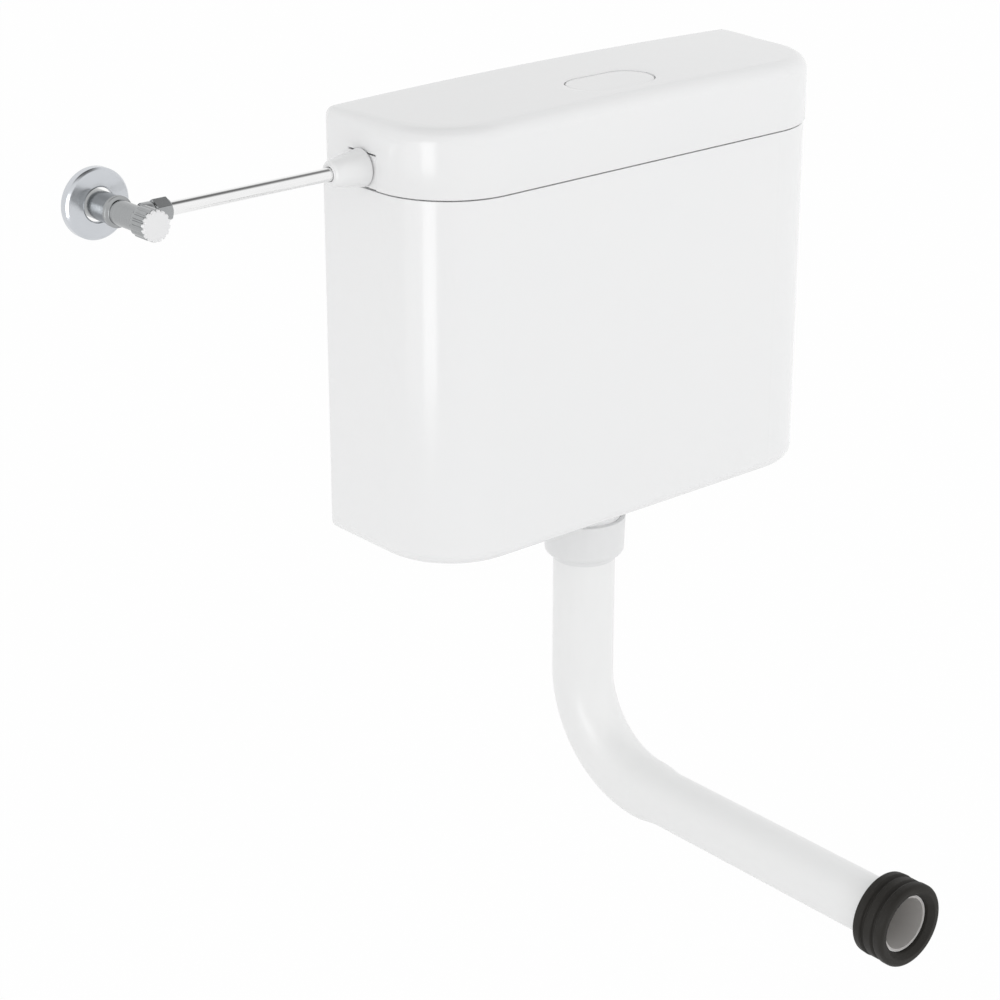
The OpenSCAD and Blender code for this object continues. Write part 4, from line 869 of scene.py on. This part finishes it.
CONE = rounded([(NECK_BORE_R, NECK_START, 0), (NECK_R, NECK_START, 0), (NECK_R, NECK_END, 0.1),
                (CONE_R, CONE_START, 0.2), (CONE_TIP_R, CONE_OUT, 3.4), (PIPE_HOLE_R, CONE_OUT, 0.5),
                (PIPE_HOLE_R, CONE_OUT - TIP_WALL, 0.1), (CONE_TIP_R - CONE_WALL, CONE_OUT - TIP_WALL, 0.3),
                (CONE_R - CONE_WALL, CONE_FLOOR, 0), (NECK_BORE_R, CONE_FLOOR, 0)], steps=8)
make_piece("shroud_cone", [turned(CONE, INLET, "left", segments=128), plate_skin()],
           "cistern", "white_plastic", "lid plastic", "inlet_shroud")

# %% [markdown]
# ## The supply pipe
# A plain drawn tube. Its visible length is dead straight, so its profile is just a wall with softened
# ends and the flanged collar that the supply nut holds.

# %% Supply pipe
low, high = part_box("supply_pipe")
TUBE_START, TUBE_END = -high[0] / MM, -low[0] / MM
TUBE_R, TUBE_BORE_R, COLLAR_R, COLLAR_T = 5.0, 4.0, 7.8, 1.5
TUBE = rounded([(TUBE_BORE_R, TUBE_START, 0.2), (COLLAR_R, TUBE_START, 0.3),
                (COLLAR_R, TUBE_START + COLLAR_T, 0.3), (TUBE_R, TUBE_START + COLLAR_T, 0.4),
                (TUBE_R, TUBE_END, 0.3), (TUBE_BORE_R, TUBE_END, 0.3)])
make_piece("supply_tube", [turned(TUBE, INLET, "left", segments=64)],
           "cistern", "chrome", "polished chrome", "supply_pipe")

# %% [markdown]
# ## The stop valve
# The valve is turned brass with a chrome skin: a rosette against the wall, a stub with a raised ring, and
# a branch for the pipe. Turning a rounded profile gives the soft edges that plating always has.

# %% Rosette, body and branch
VALVE = (-401.7, 0.0, INLET[2])
BRANCH = (VALVE[0], INLET[1], INLET[2])
ROSETTE_R, ROSETTE_IN_R, ROSETTE_HOLE_R = 25.5, 23.6, 12.2
TAIL_R, STUB_R, RING_R, BODY_R, CHAMBER_R, WATER_R = 9.9, 10.3, 11.3, 8.8, 6.8, 5.0
TAIL_END, RING_START, RING_END, CHAMBER_FLOOR, BODY_END = -13.0, 29.5, 32.5, 38.0, 60.0
ARM_START, ARM_END, ARM_R, ARM_COLLAR_R, ARM_END_R, ARM_BORE_R = 7.0, 23.5, 7.0, 8.0, 6.6, 4.0
ROSETTE = rounded([(ROSETTE_HOLE_R, 5.4, 0.2), (ROSETTE_HOLE_R, 8.7, 0.3), (13.2, 9.0, 0.5), (23.8, 7.5, 1.0),
                   (ROSETTE_R, 5.9, 1.0), (ROSETTE_R, 0.0, 0.3), (ROSETTE_IN_R, 0.0, 0.3), (23.4, 5.0, 0.6),
                   (14.4, 5.4, 0.6)])
make_piece("rosette_plate", [turned(ROSETTE, VALVE, "front", segments=144)],
           "cistern", "chrome", "rosette chrome", "rosette")
BODY = rounded([(WATER_R, TAIL_END, 0.3), (TAIL_R, TAIL_END, 0.8), (TAIL_R, -0.4, 0.1), (STUB_R, 0.2, 0.2),
                (STUB_R, 28.6, 0.3), (10.7, 29.0, 0.2), (RING_R, RING_START, 0.5), (RING_R, RING_END, 0.5),
                (10.4, 33.0, 0.3), (BODY_R, 33.6, 0.4), (BODY_R, BODY_END, 0.6), (CHAMBER_R, BODY_END, 0.3),
                (CHAMBER_R, CHAMBER_FLOOR, 0.3), (WATER_R, CHAMBER_FLOOR, 0.3)])
ARM = rounded([(ARM_BORE_R, ARM_START, 0.2), (ARM_R, ARM_START, 0.2), (ARM_R, 8.2, 0.2),
               (ARM_COLLAR_R, 8.8, 0.5), (ARM_COLLAR_R, 15.6, 0.6), (ARM_END_R, 16.0, 0.2),
               (ARM_END_R, ARM_END, 0.5), (ARM_BORE_R, ARM_END, 0.3)])
make_piece("valve_body",
           [turned(BODY, VALVE, "front", segments=128), turned(ARM, BRANCH, "right", segments=96)],
           "cistern", "chrome", "satin chrome", "stop_valve_body")

# %% [markdown]
# ### The compression nut
# A hexagon whose ends are turned to a cone: at each angle the radius is the smaller of the hexagon's side
# and the turned profile, which gives the curved lines where the flats meet the chamfer.

# %% Compression nut
NUT_FLAT, NUT_POINT_R, NUT_BORE_R = 8.0, 9.2, 5.1
NUT_START, NUT_END = 16.3, 29.3


def hexagon_radius(r, a):
    """The smaller of the turned radius and the hexagon's reach, flat / cos(angle from the nearest flat)."""
    step = math.pi / 3
    return np.minimum(r, NUT_FLAT / np.cos((a + step / 2) % step - step / 2))


NUT = rounded([(NUT_BORE_R, NUT_START, 0.2), (7.6, NUT_START, 0.2), (NUT_POINT_R, 17.2, 0.3),
               (NUT_POINT_R, 28.0, 0.6), (7.4, NUT_END, 0.5), (NUT_BORE_R, NUT_END, 0.2)])
make_piece("tube_nut", [turned(NUT, BRANCH, "right", segments=144, radius=hexagon_radius)],
           "cistern", "chrome", "satin chrome", "compression_nut")

# %% [markdown]
# ### The handle and its cap
# Sixteen flutes give a wet hand its grip. A flute is a round groove, so the radius at an angle is where the
# ray meets the groove's circle; the corners between the flutes are softened. The white cap carries on
# the same outline.

# %% Handle and cap
FLUTES, FLUTE_R, FLUTE_OUT, FLUTE_FADE_R, RIPPLE = 16, 1.0, 0.1, 8.5, 0.15
HANDLE_R, HANDLE_BORE_R, SCREW_HOLE_R = 11.2, 8.4, 3.2
HANDLE_START, HANDLE_FLOOR, HANDLE_END = 61.0, 66.5, 77.0
CAP_R, CAP_END = 11.15, 79.0


def fluted(r, a):
    """Radius less a groove at each flute and a soft ripple, both fading towards the middle.

    A ray at b from the flute's middle meets its circle at d cos b - sqrt(f2 - d2 sin2 b).
    """
    step = 2 * math.pi / FLUTES
    b = (a + step / 2) % step - step / 2
    d = HANDLE_R + FLUTE_OUT
    inside = FLUTE_R ** 2 - (d * np.sin(b)) ** 2
    groove = d * np.cos(b) - np.sqrt(np.maximum(inside, 0))
    cut = np.where(inside > 0, np.maximum(HANDLE_R - groove, 0), 0)
    ripple = RIPPLE * (1 + np.cos(FLUTES * a)) / 2
    share = np.clip((r - FLUTE_FADE_R) / (HANDLE_R - FLUTE_FADE_R), 0, 1)
    return r - share * (cut + ripple)


GRIP = rounded([(HANDLE_BORE_R, HANDLE_START, 0.2), (10.2, HANDLE_START, 0.5), (HANDLE_R, 62.2, 0.8),
                (HANDLE_R, 76.4, 0.6), (10.5, HANDLE_END, 0.3), (SCREW_HOLE_R, HANDLE_END, 0),
                (SCREW_HOLE_R, HANDLE_FLOOR, 0), (HANDLE_BORE_R, HANDLE_FLOOR, 0.2)])
make_piece("fluted_grip", [turned(GRIP, VALVE, "front", segments=288, radius=fluted)],
           "stop_handle", "chrome", "satin chrome", "handle")
CAP = rounded([(0, CAP_END, 0), (10.4, CAP_END, 0.5), (CAP_R, 78.3, 0.4), (CAP_R, 77.2, 0.1),
               (10.9, HANDLE_END, 0.1), (0, HANDLE_END, 0)], closed=False)
make_piece("scalloped_cap", [turned(CAP, VALVE, "front", segments=288, poles=True, radius=fluted)],
           "stop_handle", "cap_white", "cap plastic", "handle_cap")

# %% [markdown]
# ## The union nut
# Under the tank a smooth round nut on the outlet clamps the flush pipe. It narrows a little towards its
# rounded lower edge, and a short collar below it hugs the pipe.

# %% Union nut
OUTLET = (0.0, -65.0, 0.0)
UNION_TOP, UNION_LOW, COLLAR_LOW = -266.0, -298.0, -302.0
UNION_R, UNION_LOW_R, UNION_BORE_R, PIPE_CLEAR_R = 33.0, 32.0, 29.2, 25.2
UNION = rounded([(UNION_BORE_R, UNION_TOP, 0.3), (UNION_R, UNION_TOP, 0.7), (UNION_LOW_R, UNION_LOW, 5.0),
                 (26.6, UNION_LOW, 0.6), (25.8, COLLAR_LOW, 0.4), (PIPE_CLEAR_R, COLLAR_LOW, 0.1),
                 (PIPE_CLEAR_R, -295.0, 0.1), (UNION_BORE_R, -292.0, 0.3)], steps=9)
make_piece("pipe_nut", [turned(UNION, OUTLET, "up", segments=144)],
           "cistern", "white_plastic", "nut plastic", "union_nut")

# %% [markdown]
# ## The flush pipe
# One blown tube: straight down, a wide bend, then a thinner run to the pan. It is a circle carried along a
# path of two lines and an arc, and its radius eases from 25 to 22.5 mm after the bend with a smooth
# step. The same loops, smaller by the wall, make the inside.

# %% Flush pipe
PIPE_TOP, BEND_R, RUN_END = -248.0, 82.0, 421.0
TAPER, PIPE_R, RUN_R, PIPE_WALL = 24.0, 25.0, 22.5, 2.0
DOWN_ROWS, BEND_ROWS, TAPER_ROWS, RUN_ROWS, PIPE_COLUMNS = 12, 40, 20, 14, 112


def pipe_path():
    """Along the whole pipe: its middle line (y, z), that line's turn from straight down, and the radius."""
    start = -OUTLET[1] + BEND_R
    down = np.linspace(PIPE_TOP, RUN_Z + BEND_R, DOWN_ROWS, endpoint=False)
    bend = math.pi / 2 * even(BEND_ROWS)
    taper = np.linspace(start, start + TAPER, TAPER_ROWS, endpoint=False)
    run = np.concatenate([taper, np.linspace(start + TAPER, RUN_END, RUN_ROWS)])
    y = np.concatenate([np.full(len(down), OUTLET[1]), -start + BEND_R * np.cos(bend), -run])
    z = np.concatenate([down, RUN_Z + BEND_R - BEND_R * np.sin(bend), np.full(len(run), RUN_Z)])
    turn = np.concatenate([np.zeros(len(down)), bend, np.full(len(run), math.pi / 2)])
    return y, z, turn, PIPE_R + (RUN_R - PIPE_R) * smooth_step((-y - start) / TAPER)


def pipe_skin():
    """Circles square to the path, out and back inside: middle + r cos a x across + r sin a x normal."""
    y, z, turn, r = (row[:, None] for row in pipe_path())
    a = 2 * math.pi * even(PIPE_COLUMNS)[None, :]

    def rings(radius):
        """One circle per path point."""
        off = radius * np.sin(a)
        return np.stack([radius * np.cos(a), y + off * np.cos(turn), z - off * np.sin(turn)], -1)

    return skin(np.concatenate([rings(r), rings(r - PIPE_WALL)[::-1]]))


make_piece("flush_bend", [pipe_skin()], "cistern", "white_plastic", "pipe plastic", "flush_pipe")

# %% [markdown]
# ## The pan connector
# A soft rubber sleeve with three lobes parted by shallow grooves: a flange at the back, a ridge in the
# middle and a rounded rim in front, whose mouth flares past the pipe's end. Generous corner radii make
# it look moulded.

# %% Pan connector
RUN = (0.0, 0.0, RUN_Z)
SLEEVE_START, SLEEVE_LENGTH = 398.5, 29.0
SLEEVE_BORE_R, FLANGE_R, RIDGE_R, FLANGE_GROOVE_R, RIDGE_GROOVE_R = 22.6, 33.0, 32.5, 30.9, 30.8
MOUTH_R, MOUTH_BACK_R, MOUTH_BACK, PIPE_STOP = 27.0, 23.0, 25.0, 22.6
SLEEVE_CORNERS = [
    (SLEEVE_BORE_R, 0.0, 0.3), (32.4, 0.0, 1.4), (FLANGE_R, 7.0, 1.5),
    (FLANGE_GROOVE_R, 8.2, 0.7), (FLANGE_GROOVE_R, 9.6, 0.7),
    (RIDGE_R, 10.9, 1.5), (RIDGE_R, 17.2, 1.5),
    (RIDGE_GROOVE_R, 18.5, 0.7), (RIDGE_GROOVE_R, 19.9, 0.7),
    (FLANGE_R, 21.2, 1.8), (FLANGE_R, SLEEVE_LENGTH, 3.3),
    (MOUTH_R, SLEEVE_LENGTH, 0.9), (MOUTH_BACK_R, MOUTH_BACK, 1.0),
    (MOUTH_BACK_R, PIPE_STOP, 0.1), (SLEEVE_BORE_R, PIPE_STOP, 0.1),
]
SLEEVE = rounded([(r, SLEEVE_START + s, soft) for r, s, soft in SLEEVE_CORNERS], steps=7)
make_piece("rubber_sleeve", [turned(SLEEVE, RUN, "front", segments=160)],
           "cistern", "black_rubber", "rubber", "pan_connector")
